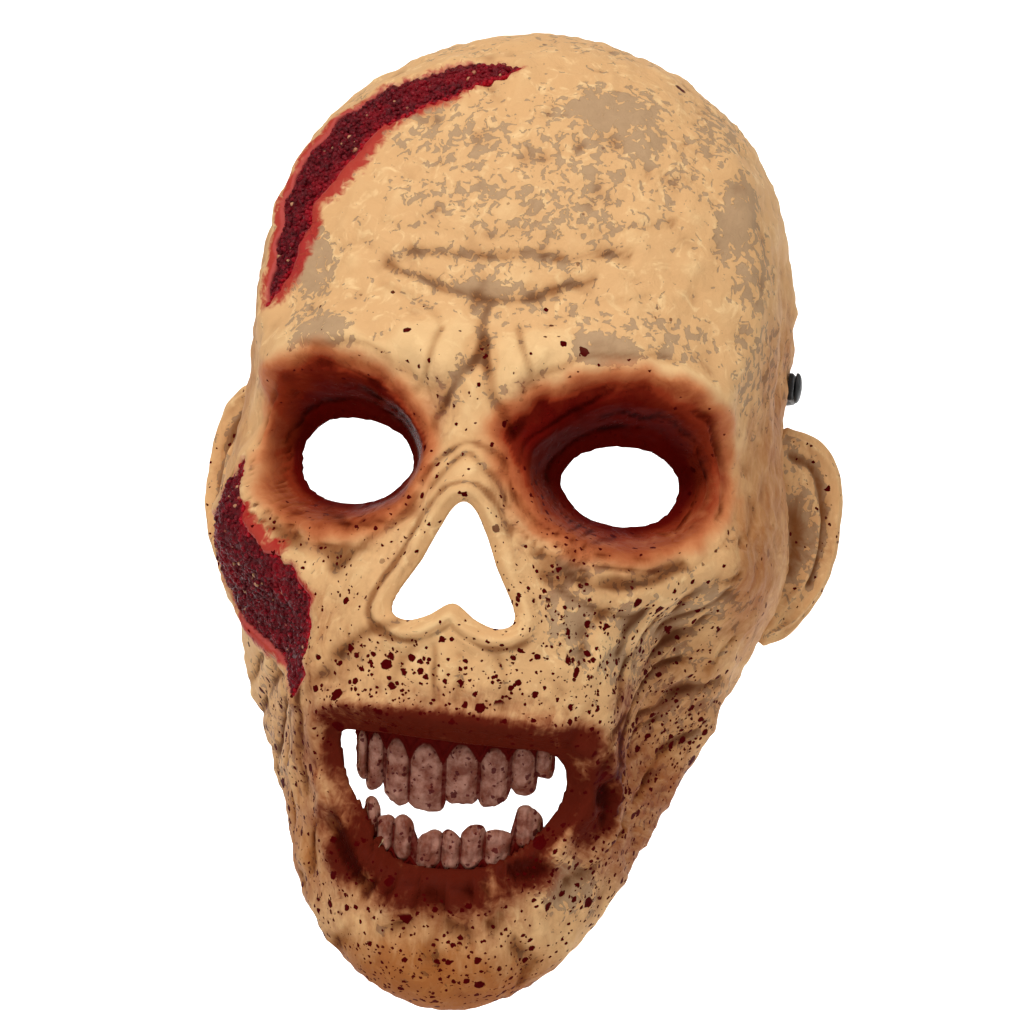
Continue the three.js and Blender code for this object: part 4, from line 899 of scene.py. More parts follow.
def split_faces(rows, columns):
    """Corner indices of every cell of a grid, in order round the cell."""
    j, i = np.meshgrid(np.arange(rows - 1), np.arange(columns - 1), indexing="ij")
    a = (j * columns + i).ravel()
    return np.stack([a, a + 1, a + columns + 1, a + columns], -1)


def boundary_edges(faces):
    """Directed edges of the faces whose opposite isn't an edge of any face."""
    edges = np.vstack([np.stack([f, np.roll(f, -1, 1)], -1).reshape(-1, 2) for f in faces if len(f)])
    size = edges.max() + 1
    forward, backward = edges[:, 0] * size + edges[:, 1], edges[:, 1] * size + edges[:, 0]
    return edges[~np.isin(forward, backward)]


def closed_wall(front, back, faces, bulge, rounds=EDGE_LOOPS):
    """A wall between two sets of points with the same faces: the back ones turned round, and every free
    edge closed by a strip whose inner loops bulge outward in half an ellipse.
    Returns points, faces by size and, for each point, its share of the way from front to back and the
    number of the front point that it goes with."""
    front, back = front.reshape(-1, 3), back.reshape(-1, 3)
    count = len(front)
    edges = boundary_edges(faces)
    border = np.unique(edges)
    across = front[edges[:, 1]] - front[edges[:, 0]]
    thick = back[edges[:, 0]] - front[edges[:, 0]]
    away = np.zeros_like(front)
    for end in (0, 1):
        np.add.at(away, edges[:, end], np.cross(thick, across))
    away = away[border]
    away /= np.maximum(np.linalg.norm(away, axis=1, keepdims=True), TINY)
    depth = np.linalg.norm(back[border] - front[border], axis=1, keepdims=True)
    points, shares = [front, back], [np.zeros(count), np.ones(count)]
    for k in range(1, rounds + 1):
        t = (1 - math.cos(math.pi * k / (rounds + 1))) / 2
        swell = bulge * math.sin(math.pi * k / (rounds + 1))
        points.append(front[border] * (1 - t) + back[border] * t + away * depth * swell)
        shares.append(np.full(len(border), t))
    place = np.full(count, -1)
    place[border] = np.arange(len(border))
    loops = [edges] + [2 * count + k * len(border) + place[edges] for k in range(rounds)]
    loops.append(edges + count)
    quads = [f for f in faces if f.shape[1] == 4]
    tris = [f for f in faces if f.shape[1] == 3]
    quads += [f[:, ::-1] + count for f in list(quads)]
    tris += [f[:, ::-1] + count for f in list(tris)]
    for one, two in zip(loops[:-1], loops[1:]):
        quads.append(np.stack([one[:, 1], one[:, 0], two[:, 0], two[:, 1]], -1))
    sizes = [np.vstack(quads)] + ([np.vstack(tris)] if tris else [])
    source = np.concatenate([np.arange(count)] * 2 + [border] * rounds)
    return np.vstack(points), sizes, np.concatenate(shares), source


def add_mesh(name, points, faces, attributes=None, uv=None):
    """A smooth mesh object from arrays of points in metres and of faces of one size each."""
    mesh = bpy.data.meshes.new(name)
    sizes = np.concatenate([np.full(len(f), f.shape[1]) for f in faces])
    corners = np.concatenate([f.ravel() for f in faces]).astype(np.int32)
    mesh.vertices.add(len(points))
    mesh.vertices.foreach_set("co", np.asarray(points, np.float32).ravel())
    mesh.loops.add(len(corners))
    mesh.loops.foreach_set("vertex_index", corners)
    mesh.polygons.add(len(sizes))
    starts = np.concatenate([[0], np.cumsum(sizes)[:-1]]).astype(np.int32)
    mesh.polygons.foreach_set("loop_start", starts)
    mesh.polygons.foreach_set("use_smooth", np.ones(len(sizes), bool))
    mesh.update(calc_edges=True)
    for key, value in (attributes or {}).items():
        kind, field = ("FLOAT_VECTOR", "vector") if np.ndim(value) == 2 else ("FLOAT", "value")
        layer = mesh.attributes.new(key, kind, "POINT")
        layer.data.foreach_set(field, np.asarray(value, np.float32).ravel())
    if uv is not None:
        layer = mesh.uv_layers.new(name="along")
        layer.data.foreach_set("uv", uv[corners].astype(np.float32).ravel())
    mesh.validate()
    piece = bpy.data.objects.new(name, mesh)
    bpy.context.scene.collection.objects.link(piece)
    return piece


def dress(piece, material, slot, *nodes):
    """Gives a piece its material, lets it stand for its solids and rides it on the part. The slot is not
    used.
    """
    piece.data.materials.append(material)
    if nodes:
        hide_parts(*nodes)
    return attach(piece, BODY)


def tone(red, green, blue):
    """Linear colour of an sRGB one given from 0 to 255."""
    c = np.array([red, green, blue]) / 255
    return tuple(np.where(c <= 0.04045, c / 12.92, ((c + 0.055) / 1.055) ** 2.4)) + (1.0,)


class Paint:
    """Adds nodes to one material and hands back their outputs."""

    def __init__(self, name):
        self.material = bpy.data.materials.new(name)
        self.material.use_nodes = True
        self.tree = self.material.node_tree
        self.shader = self.tree.nodes["Principled BSDF"]
        self.place = self.tree.nodes.new("ShaderNodeTexCoord").outputs["Object"]

    def node(self, kind, inputs=(), **settings):
        """A new node with these settings and inputs."""
        made = self.tree.nodes.new(kind)
        for key, value in settings.items():
            setattr(made, key, value)
        for key, value in dict(inputs).items():
            self.feed(made.inputs[key], value)
        return made

    def feed(self, socket, value):
        """Links an output to a socket, or sets its constant."""
        if isinstance(value, bpy.types.NodeSocket):
            self.tree.links.new(value, socket)
        else:
            socket.default_value = value

    def vector(self, kind, one, two):
        """Result of an operation on two vectors, or on a vector and a number."""
        made = self.node("ShaderNodeVectorMath", operation=kind)
        self.feed(made.inputs[0], one)
        self.feed(made.inputs["Scale" if kind == "SCALE" else 1], two)
        return made.outputs["Value" if kind == "DISTANCE" else "Vector"]

    def attribute(self, name, output="Fac"):
        """A mesh attribute."""
        return self.node("ShaderNodeAttribute", attribute_name=name).outputs[output]

    def noise(self, scale, detail=2.0, rough=0.5, bend=0.0, place=None):
        """Noise with this many cells a metre, in object coordinates unless a place is given."""
        inputs = {"Vector": place or self.place, "Scale": scale, "Detail": detail,
                  "Roughness": rough, "Distortion": bend}
        return self.node("ShaderNodeTexNoise", inputs).outputs["Fac"]

    def math(self, kind, one, two=0.0):
        """Result of an operation on two values."""
        return self.node("ShaderNodeMath", {0: one, 1: two}, operation=kind).outputs[0]

    def times(self, one, two):
        """Product of two values."""
        return self.math("MULTIPLY", one, two)

    def most(self, *values):
        """The greatest of some values."""
        top = values[0]
        for value in values[1:]:
            top = self.math("MAXIMUM", top, value)
        return top

    def plus(self, value, *shares):
        """A value plus each field times its share."""
        for field, share in shares:
            value = self.math("ADD", value, self.times(field, share))
        return value

    def step(self, value, low, high, start=0.0, end=1.0):
        """Smooth way from start to end as the value goes from low to high."""
        inputs = {"Value": value, "From Min": low, "From Max": high, "To Min": start, "To Max": end}
        return self.node("ShaderNodeMapRange", inputs, interpolation_type="SMOOTHSTEP").outputs[0]

    def mix(self, share, one, two, blend="MIX"):
        """Share of colour two over colour one."""
        inputs = {0: share, 6: one, 7: two}
        return self.node("ShaderNodeMix", inputs, data_type="RGBA", blend_type=blend).outputs[2]

    def shaken(self, scale, amount):
        """Object coordinates moved by a noise colour times amount, in metres."""
        field = self.node("ShaderNodeTexNoise", {"Vector": self.place, "Scale": scale}).outputs["Color"]
        moved = self.vector("SCALE", self.vector("SUBTRACT", field, (0.5, 0.5, 0.5)), amount)
        return self.vector("ADD", self.place, moved)

    def bump(self, height, distance, strength=1.0):
        """Fine relief in the shading."""
        inputs = {"Height": height, "Distance": distance, "Strength": strength}
        normal = self.node("ShaderNodeBump", inputs).outputs["Normal"]
        self.tree.links.new(normal, self.shader.inputs["Normal"])

    def finish(self, **values):
        """Feeds the shader's inputs by name and returns the material."""
        for key, value in values.items():
            self.feed(self.shader.inputs[key.replace("_", " ").title().replace("Ior", "IOR")], value)
        return self.material


def spatter(paint, sizes):
    """Round drops of uneven size and outline: Voronoi cells whose distance lies under a random radius,
    in as many cells picked at random as the density says. Each size has a row of its own."""
    place, density = paint.shaken(DROP_SHAKE_SCALE, DROP_SHAKE), paint.attribute("spatter")
    blood = []
    for scale, shift, share, widest in sizes:
        moved = paint.vector("ADD", place, shift)
        cell = paint.node("ShaderNodeTexVoronoi", {"Vector": moved, "Scale": scale}, feature="F1").outputs
        pick = paint.node("ShaderNodeSeparateColor", {"Color": cell["Color"]}).outputs
        radius = paint.times(paint.math("POWER", pick[1], 2.0), widest)
        drop = paint.step(paint.math("SUBTRACT", radius, cell["Distance"]), *DROP_EDGE)
        chosen = paint.step(paint.math("SUBTRACT", paint.times(density, share), pick[0]), *DROP_CHOICE)
        blood.append(paint.times(drop, chosen))
    return paint.most(*blood)


def painted_latex(colours):
    """Cream dry-brushed over grey-brown, red sockets, flush, wash, blood spatter, crimson at wounds, painted
    highlight and shade.
    """
    p = Paint("painted_latex")
    slow = p.noise(14.0, 3.0, 0.55)
    fleck = p.noise(390.0, 2.5, 0.55, 0.7, p.shaken(160.0, 0.002))
    worm = p.noise(200.0, 3.0, 0.6, 1.2)
    streak = p.noise(0.32, 3.0, 0.6, 0.5, p.attribute("flow", "Vector"))
    slow_off, fleck_off, worm_off, streak_off = (
        p.math("SUBTRACT", value, 0.5) for value in (slow, fleck, worm, streak))
    lift, crease, cut = (p.attribute(name) for name in ("lift", "crease", "gore"))

    cream = p.mix(slow, colours["cream_shade"], colours["cream"])
    cream = p.mix(p.step(worm, 0.5, 0.75), cream, colours["cream_light"])
    # Lighter on the raised relief: dry-brushed top coat and painted highlight
    cream = p.mix(p.step(lift, 0.15, 1.4, 0.0, 0.6), cream, colours["cream_light"])
    bare = p.plus(fleck, (p.attribute("taupe"), 0.34), (p.attribute("low"), 0.22), (crease, 0.14),
                  (lift, -0.05), (streak_off, 0.22), (worm_off, 0.22))
    flaked = p.step(bare, *FLAKE_EDGE)
    taupe = p.mix(worm, colours["taupe"], colours["taupe_light"])
    skin = p.mix(p.times(flaked, 0.92), cream, taupe)
    # Brown wash, and painted shade on the lower face and the sides of the head, multiplied
    tan = p.step(p.plus(p.attribute("tan"), (streak_off, 0.9), (worm_off, 0.5)), 0.05, 1.1)
    skin = p.mix(tan, skin, colours["wash"], "MULTIPLY")
    red = p.attribute("flush")
    flush = p.step(p.plus(red, (streak_off, 0.45), (fleck_off, 0.6)), 0.12, 0.95)
    skin = p.mix(p.times(flush, 0.85), skin, colours["flush"])
    deep = p.step(p.plus(red, (streak_off, 0.4), (fleck_off, 0.7)), 0.65, 1.15)
    skin = p.mix(p.times(deep, 0.93), skin, colours["dried_blood"])
    # Red sockets; the darkest band is also painted shade under the brow
    hollow = p.plus(p.attribute("socket"), (worm_off, 0.16))
    for name, low, high in SOCKET_BANDS:
        skin = p.mix(p.step(hollow, low, high), skin, colours[name])
    # Painted shade: darker in the wrinkles, pits, grooves and socket folds, and where the relief sinks,
    # multiplied
    shade = p.step(p.plus(crease, (worm_off, 0.5)), 0.05, 1.2)
    for share in (p.times(shade, 0.62), p.step(lift, -0.15, -1.3, 0.0, 0.75)):
        skin = p.mix(share, skin, colours["crease"], "MULTIPLY")
    spray = p.step(p.attribute("spray"), 0.0, 1.0, 2.4, -2.2)
    haze = p.plus(cut, (spray, 1.0), (fleck_off, 7.0), (slow_off, 9.0))
    skin = p.mix(p.step(haze, 3.4, 0.4, 0.0, 0.9), skin, colours["crimson"])
    skin = p.mix(p.step(cut, 0.8, 0.3, 0.0, 0.3), skin, colours["torn_lip"])
    skin = p.mix(p.step(cut, 0.1, -0.6), skin, colours["wound"])
    blood = spatter(p, SKIN_DROPS)
    skin = p.mix(blood, skin, colours["drop"])
    spot = p.vector("DISTANCE", p.place, to_row(front_point(*PUNCTURE)).tolist())
    skin = p.mix(p.step(spot, *PUNCTURE_EDGE), skin, colours["dried_blood"])
    skin = p.mix(p.attribute("inside"), skin, colours["inside"])
    wet = p.most(p.step(hollow, 0.3, 0.9), p.times(blood, 0.7), p.times(deep, 0.8))
    rough = p.plus(p.step(wet, 0.0, 1.0, 0.6, 0.25), (fleck_off, 0.2))
    gloss = p.step(p.most(wet, crease), 0.0, 0.6, 0.07, 0.004)
    p.bump(p.plus(0.3, (p.noise(240.0, 5.0, 0.6, 0.6), 0.7), (flaked, -0.3)), 0.001, 0.75)
    return p.finish(base_color=skin, roughness=rough, specular_ior_level=gloss)


def tooth_latex(colours):
    """Pink-grey enamel with dark red gums, gaps and fine drops."""
    p = Paint("tooth_latex")
    grain = p.noise(500.0, 4.0, 0.6, 0.5)
    blotch = p.step(p.noise(240.0, 4.0, 0.6), 0.35, 0.7)
    enamel = p.mix(blotch, colours["tooth_shade"], colours["tooth"])
    grain_off = p.math("SUBTRACT", grain, 0.5)
    gum = p.step(p.plus(p.attribute("gum"), (grain_off, 0.5)), 0.1, 0.6)
    colour = p.mix(gum, enamel, colours["gum"])
    colour = p.mix(p.times(spatter(p, TOOTH_DROPS), 0.9), colour, colours["drop"])
    p.bump(p.noise(320.0, 4.0, 0.6), 0.0004, 0.5)
    return p.finish(base_color=colour, roughness=p.step(grain, 0.3, 0.7, 0.22, 0.36),
                    specular_ior_level=p.step(gum, 0.0, 0.8, 0.12, 0.01))


def wound_crumb(colours):
    """Dark crimson crumb, some grains brighter, a few pale as painted glints, painted shade between the
    crumbs.
    """
    p = Paint("wound_crumb")
    pick = p.attribute("grain")
    colour = p.mix(p.step(pick, 0.1, 0.9), colours["wound"], colours["wound_light"])
    # Painted glints: a few grains pale
    colour = p.mix(p.step(pick, 0.978, 0.984), colour, colours["glint"])
    # Painted shade between the crumbs, laid on at random
    fine = p.noise(900.0, 3.0, 0.6)
    colour = p.mix(p.step(fine, 0.4, 0.75, 0.0, 0.6), colour, colours["wound_dark"])
    lumps = p.step(p.noise(90.0, 2.0), 0.5, 0.7, 0.0, 0.3)
    colour = p.mix(lumps, colour, colours["crimson"])
    rim = p.plus(p.attribute("rim"), (p.math("SUBTRACT", fine, 0.5), 0.8))
    colour = p.mix(p.step(rim, 0.25, 1.0, 0.0, 0.9), colour, colours["crimson"])
    p.bump(fine, 0.0006, 0.8)
    return p.finish(base_color=colour, roughness=p.step(fine, 0.3, 0.7, 0.3, 0.5),
                    specular_ior_level=0.15)


def woven_elastic(colours):
    """Black elastic: ribs along the band and fine picks across it, on the piece's own UV map."""
    p = Paint("woven_elastic")
    place = p.node("ShaderNodeUVMap", uv_map="along").outputs[0]
    axes = p.node("ShaderNodeSeparateXYZ", {0: place}).outputs
    ribs = p.math("SINE", p.times(axes[1], 2 * math.pi * STRAP_RIBS))
    picks = p.math("SINE", p.times(axes[0], 2 * math.pi / STRAP_PICK))
    weave = p.plus(p.times(ribs, 0.7), (p.times(ribs, picks), 0.5))
    colour = p.mix(p.step(weave, -1.0, 1.2), colours["elastic_gap"], colours["elastic"])
    p.bump(weave, 0.00025, 0.8)
    return p.finish(base_color=colour, roughness=0.82, sheen_weight=0.25)


def rivet_plastic(colours):
    """Moulded black plastic with a fine grain."""
    p = Paint("rivet_plastic")
    grain = p.noise(1200.0, 2.0)
    p.bump(grain, 0.00008, 0.4)
    return p.finish(base_color=p.mix(grain, colours["rivet_shade"], colours["rivet"]),
                    roughness=p.step(grain, 0.3, 0.7, 0.35, 0.5))


def skin_grid():
    """Even grid of a square bent to a disc; the share of the way to the back edge is
    density * r + (1 - density) * r to the fifth, so that lines lie closer on the face."""
    a, b = np.meshgrid(np.linspace(-1, 1, SKIN_COLUMNS), np.linspace(-1, 1, SKIN_ROWS))
    x, z = a * np.sqrt(1 - b * b / 2), b * np.sqrt(1 - a * a / 2)
    r = np.minimum(np.hypot(x, z), 1)
    share = FRONT_DENSITY * r + (1 - FRONT_DENSITY) * r ** 5
    return base_point(np.arctan2(z, x), share)


def from_chart(flat):
    """The base surface's points at places of its flat chart."""
    return base_point(np.arctan2(flat[..., 1], flat[..., 0]), np.hypot(flat[..., 0], flat[..., 1]))


def snap_to_openings(grid):
    """Moves the nearer end of every cell edge that crosses an opening's outline onto the outline, then
    evens the grid: free points move half way to their neighbours' middle, edge points to the nearest
    place on their outline, and the back edge stays.
    Returns the grid and each point's sign: -1 inside an opening, 0 on its edge, 1 on the skin."""
    rows, columns = grid.shape[:2]
    flat = grid[..., [0, 2]].reshape(-1, 2)
    front = (grid[..., 1] < OPENING_BACK).ravel()
    distance = np.full(len(flat), np.inf)
    nearest = np.zeros(len(flat), int)
    for k, outline in enumerate(OPENINGS):
        d = np.where(front, outline_distance(flat, outline), np.inf)
        closer = d < distance
        distance[closer], nearest[closer] = d[closer], k
    index = np.arange(len(flat)).reshape(rows, columns)
    pairs = np.vstack([np.stack([index[:, :-1].ravel(), index[:, 1:].ravel()], -1),
                       np.stack([index[:-1].ravel(), index[1:].ravel()], -1)])
    one, two = distance[pairs[:, 0]], distance[pairs[:, 1]]
    crossing = (one < 0) != (two < 0)
    marked = np.unique(np.where(np.abs(one) < np.abs(two), pairs[:, 0], pairs[:, 1])[crossing])
    own = [marked[nearest[marked] == k] for k in range(len(OPENINGS))]
    distance[marked] = 0
    place = chart(grid)
    for _ in range(EVEN_PASSES):
        middle = (place[:-2, 1:-1] + place[2:, 1:-1] + place[1:-1, :-2] + place[1:-1, 2:]) / 4
        place[1:-1, 1:-1] += (middle - place[1:-1, 1:-1]) / 2
        spread = place.reshape(-1, 2)
        for numbers, outline in zip(own, OPENINGS):
            foot = nearest_on_outline(from_chart(spread[numbers])[:, [0, 2]], outline)
            spread[numbers] = chart(front_point(*foot.T))
        place = spread.reshape(grid.shape[:2] + (2,))
    return from_chart(place), np.sign(distance)


def open_faces(signs):
    """Cells with no corner inside an opening stay whole; mixed ones are split through their two edge
    corners, and triangles with no corner on the skin are left out."""
    cells = split_faces(SKIN_ROWS, SKIN_COLUMNS)
    s = signs[cells]
    whole = (s >= 0).all(1) & (s > 0).any(1) & ((s == 0).sum(1) < 3)
    mixed = cells[~whole & (s > 0).any(1)]
    s = signs[mixed]
    first = np.abs(s[:, 1] - s[:, 3]) < np.abs(s[:, 0] - s[:, 2])
    trios = [mixed[first][:, [0, 1, 3]], mixed[first][:, [1, 2, 3]],
             mixed[~first][:, [0, 1, 2]], mixed[~first][:, [0, 2, 3]]]
    tris = np.vstack(trios)
    return [cells[whole], tris[(signs[tris] > 0).any(1)]]


def compact(faces):
    """The numbers of the points that the faces use, and the faces counted in those points alone."""
    used = np.unique(np.concatenate([f.ravel() for f in faces]))
    return used, [np.searchsorted(used, f) for f in faces]


def socket_shade(points):
    """How far into an eye socket's paint a place lies: 1 at the eye hole, less at the edge of the dark
    paint, less again just outside it and 0 some way off; darker above and toward the nose, painted shade
    under the brow."""
    flat = points[..., [0, 2]]
    shade = np.zeros(points.shape[:-1])
    shaken = flat + 0.5 * np.stack([waves(points, 8.0, 81), waves(points, 8.0, 82)], -1)
    for side, eye in zip((1, -1), EYES):
        paint = smooth_line(SOCKET_PAINT[side], OUTLINE_STEPS, True)
        from_eye = np.maximum(outline_distance(flat, eye), 0)
        from_paint = outline_distance(shaken, paint)
        up = np.clip(flat[..., 1] / EYE_SIZE[1], -1, 1)
        inward = np.clip((EYE_SPACING / 2 - side * flat[..., 0]) / EYE_SIZE[0], -1, 1)
        within = 1 - (1 - PAINT_EDGE) * from_eye / np.maximum(from_eye - from_paint, TINY)
        # Painted shade under the brow: darker above and toward the nose
        within += (PAINTED_SHADE_ABOVE * up + PAINTED_SHADE_INWARD * inward) * np.clip(from_eye / 4, 0, 1)
        outside = np.maximum(from_paint, 0)
        halo = HALO * (1 - ease(outside / np.where(flat[..., 1] > 0, *HALO_REACH)))
        # A thin darker band just outside the paint, most above: painted shade under the brow
        halo += (0.05 + 0.08 * up) * (1 - ease(outside / 1.4))
        shade = np.maximum(shade, np.where(from_paint < 0, within, halo))
    return np.where(points[..., 1] < OPENING_BACK, shade, 0)


def mouth_shade(points):
    """Red-brown ring round the mouth: 1.4 at its edge, 0 at a reach that is widest below."""
    flat = points[..., [0, 2]]
    away = outline_distance(flat, MOUTH)
    middle = -MOUTH_TOP - MOUTH_SIZE[1] / 2
    high = ease((flat[..., 1] - middle) / MOUTH_SIZE[1] + 0.5)
    beside = ease((np.abs(flat[..., 0] - MOUTH_SHIFT) - 18) / 12) * np.clip(1 - high, 0.5, 1)
    start = np.where(high > 0.5, 0.5, 4.0) * (1 - 0.5 * beside)
    left = ease((-16 - flat[..., 0]) / 8) * ease((flat[..., 1] + 100) / 8)
    reach = MOUTH_RING * (1 - 0.3 * beside) * (1 - 0.45 * left)
    fall = (away + 1.6 * waves(points, 13.0, 85) - start) / (reach - start)
    strength = 1.05 + 0.14 * waves(points, 18.0, 87) + 0.3 * (1 - beside)
    strength = strength - 0.2 * ease((-8 - flat[..., 0]) / 20) * beside
    ring = strength * (1 - ease(fall)) - 1.2 * patches(points, BARE_RIDGES)
    return np.where(points[..., 1] < OPENING_BACK, np.maximum(ring, 0), 0)


def mask_skin(depth_share):
    """Skin from chin to crown as one closed wall. Outside: the base surface raised by the relief.
    Inside: the smooth body, one wall thickness in, so that no wrinkle shows there."""
    grid, signs = snap_to_openings(skin_grid())
    base_normals = grid_normals(grid)
    forward = np.stack([0 * signs, -forward_relief(grid).ravel(), 0 * signs], -1).reshape(grid.shape)
    swell = body_relief(grid)
    from_wound = wound_distance(grid)
    fine, crease = fine_relief(grid, depth_share)
    creped, low = crepe(grid)
    faces_front = ease((-base_normals[..., 1] - 0.15) / 0.35)
    creped *= SIDE_CREPE + (1 - SIDE_CREPE) * faces_front
    edge_calm = ease(opening_distance(grid) / EDGE_CALM)
    smooth = grid + base_normals * swell[..., None] + forward
    fine = (fine + creped) * edge_calm * ease((from_wound + 1.5) / 2.5)
    fine = np.where(fine < 0, DEEPEST * np.tanh(fine / DEEPEST), fine)
    detail = fine + wound_relief(from_wound)
    outer = grid + base_normals * (swell + detail)[..., None] + forward
    inset = WALL + np.maximum(THINNEST - WALL - detail, 0)
    inner = smooth - grid_normals(smooth) * inset[..., None]
    used, faces = compact(open_faces(signs))
    painted = {
        "taupe": patches(grid, TAUPE_PATCHES),
        "spatter": patches(grid, SPATTER_PATCHES),
        "flush": np.maximum(patches(grid, FLUSH_PATCHES), mouth_shade(grid)),
        "tan": patches(grid, TAN_AND_SHADE_PATCHES),
        "low": low,
        "lift": fine,
        "socket": socket_shade(grid),
        "crease": crease,
        "gore": from_wound,
        "spray": patches(grid, SPRAY_PATCHES),
        "flow": flow_field(grid),
    }
    points, faces, shares, source = closed_wall(
        outer.reshape(-1, 3)[used], inner.reshape(-1, 3)[used], faces, 0.45)
    painted = {key: value.reshape((signs.size,) + value.shape[2:])[used[source]]
               for key, value in painted.items()}
    painted["inside"] = ease((shares - INSIDE_PAINT_START) / (1 - INSIDE_PAINT_START))
    return add_mesh("mask_skin", to_row(points), faces, painted)


def opening_distance(points):
    """Distance in front view to the nearest opening's edge, never negative."""
    flat = points[..., [0, 2]]
    near = np.min([outline_distance(flat, outline) for outline in OPENINGS], axis=0)
    return np.where(points[..., 1] < OPENING_BACK, np.maximum(near, 0), FAR)


def ear(side):
    """Ear: straight rows from its root line in the side of the skin to its edge line, raised by folds
    along paths in its own width and height."""
    foot = EAR_TOP - EAR_HEIGHT
    lines = resample(smooth_line(EAR_ROWS, 8), EAR_LEVELS)
    root_up, root_back, edge_up, edge_out, edge_back = lines.T
    root = side_point(side, root_back * EAR_REACH, foot + root_up * EAR_HEIGHT)
    root[:, 0] -= side * EAR_ROOT_DEPTH
    edge = np.stack([root[:, 0] + side * edge_out * EAR_REACH, edge_back * EAR_REACH,
                     foot + edge_up * EAR_HEIGHT], -1)
    share = np.linspace(0, 1, EAR_COLUMNS)
    if side < 0:
        share = share[::-1]
    grid = root[:, None] + (edge - root)[:, None] * share[None, :, None]
    normals = grid_normals(grid)
    width = np.linalg.norm(edge - root, axis=1).max()
    plane = np.stack([np.broadcast_to(share * width, grid.shape[:2]), grid[..., 2] - foot], -1)
    fold = np.zeros(grid.shape[:2])
    dark = np.zeros(grid.shape[:2])
    for _, path, reach, rise in EAR_FOLDS:
        line = smooth_line([(x * width, z * EAR_HEIGHT) for x, z in path], 5)
        near = bell(line_distance(plane, line) / reach)
        fold += rise * near
        if rise < 0:
            dark = np.maximum(dark, near)
    edge_calm = np.minimum(ease(np.minimum(share, 1 - share) * 12), 1)[None] \
        * ease(np.minimum(np.linspace(0, 1, EAR_LEVELS), np.linspace(1, 0, EAR_LEVELS)) * 14)[:, None]
    fold = fold * edge_calm + 0.12 * waves(grid, 6.0, 31)
    flare = EAR_ROOT_SHARE + (1 - EAR_ROOT_SHARE) * ease(share / EAR_ROOT_FLARE)
    half = EAR_THICKNESS / 2 * flare
    front = grid + normals * (half + fold)[..., None]
    back = grid - normals * (half - 0.35 * np.minimum(fold, 0))[..., None]
    points, faces, shares, source = closed_wall(front, back, [split_faces(*fold.shape)], 0.4)
    # Painted shade in the ear's hollows: more grey-brown, tan and crease darkening; the rim keeps more cream,
    # a painted highlight
    rim = ease((np.broadcast_to(share, dark.shape) - 0.72) / 0.12)
    spread, edge = (v.ravel()[source] * (shares < 1) for v in (dark, rim))
    zero = np.zeros(len(points))
    painted = {key: zero for key in ("flush", "socket", "low", "lift", "inside", "spray")}
    painted |= {"taupe": 0.5 + 1.1 * spread - 0.45 * edge, "crease": 0.55 * spread,
                "tan": 0.3 + 0.6 * spread, "spatter": zero + 0.12, "gore": zero + FAR,
                "flow": flow_field(points)}
    return add_mesh("ear_left" if side > 0 else "ear_right", to_row(points), faces, painted)


def inner_depth(x, z):
    """Depth of the skin's inner face at front-view places."""
    def at(x, z):
        """The inner face's point over the base point at a front-view place."""
        base = front_point(x, z)
        step = 0.5
        across = front_point(x + step, z) - front_point(x - step, z)
        up = front_point(x, z + step) - front_point(x, z - step)
        normal = np.cross(across, up)
        normal /= np.linalg.norm(normal, axis=-1, keepdims=True)
        return base + normal * (body_relief(base) - WALL)[..., None] \
            - np.stack([0 * x, forward_relief(base), 0 * x], -1)

    foot_x, foot_z = x.copy(), z.copy()
    for _ in range(INNER_ROUNDS):
        found = at(foot_x, foot_z)
        foot_x, foot_z = foot_x + x - found[..., 0], foot_z + z - found[..., 2]
    return at(foot_x, foot_z)[..., 1]


def mouth_edge(x, upper):
    """Height of the mouth's upper or lower edge at places across it."""
    nxt = np.roll(MOUTH, -1, 0)
    ax, az, bx, bz = MOUTH[:, 0], MOUTH[:, 1], nxt[:, 0], nxt[:, 1]
    over = (ax[None] <= x[:, None]) != (bx[None] <= x[:, None])
    run = np.where(np.abs(bx - ax) < TINY, 1, bx - ax)
    height = az + (bz - az) * (x[:, None] - ax) / run
    middle = -MOUTH_TOP - MOUTH_SIZE[1] / 2
    pick = np.where(over, height, -np.inf if upper else np.inf)
    found = pick.max(1) if upper else pick.min(1)
    return np.where(over.any(1), found, middle)


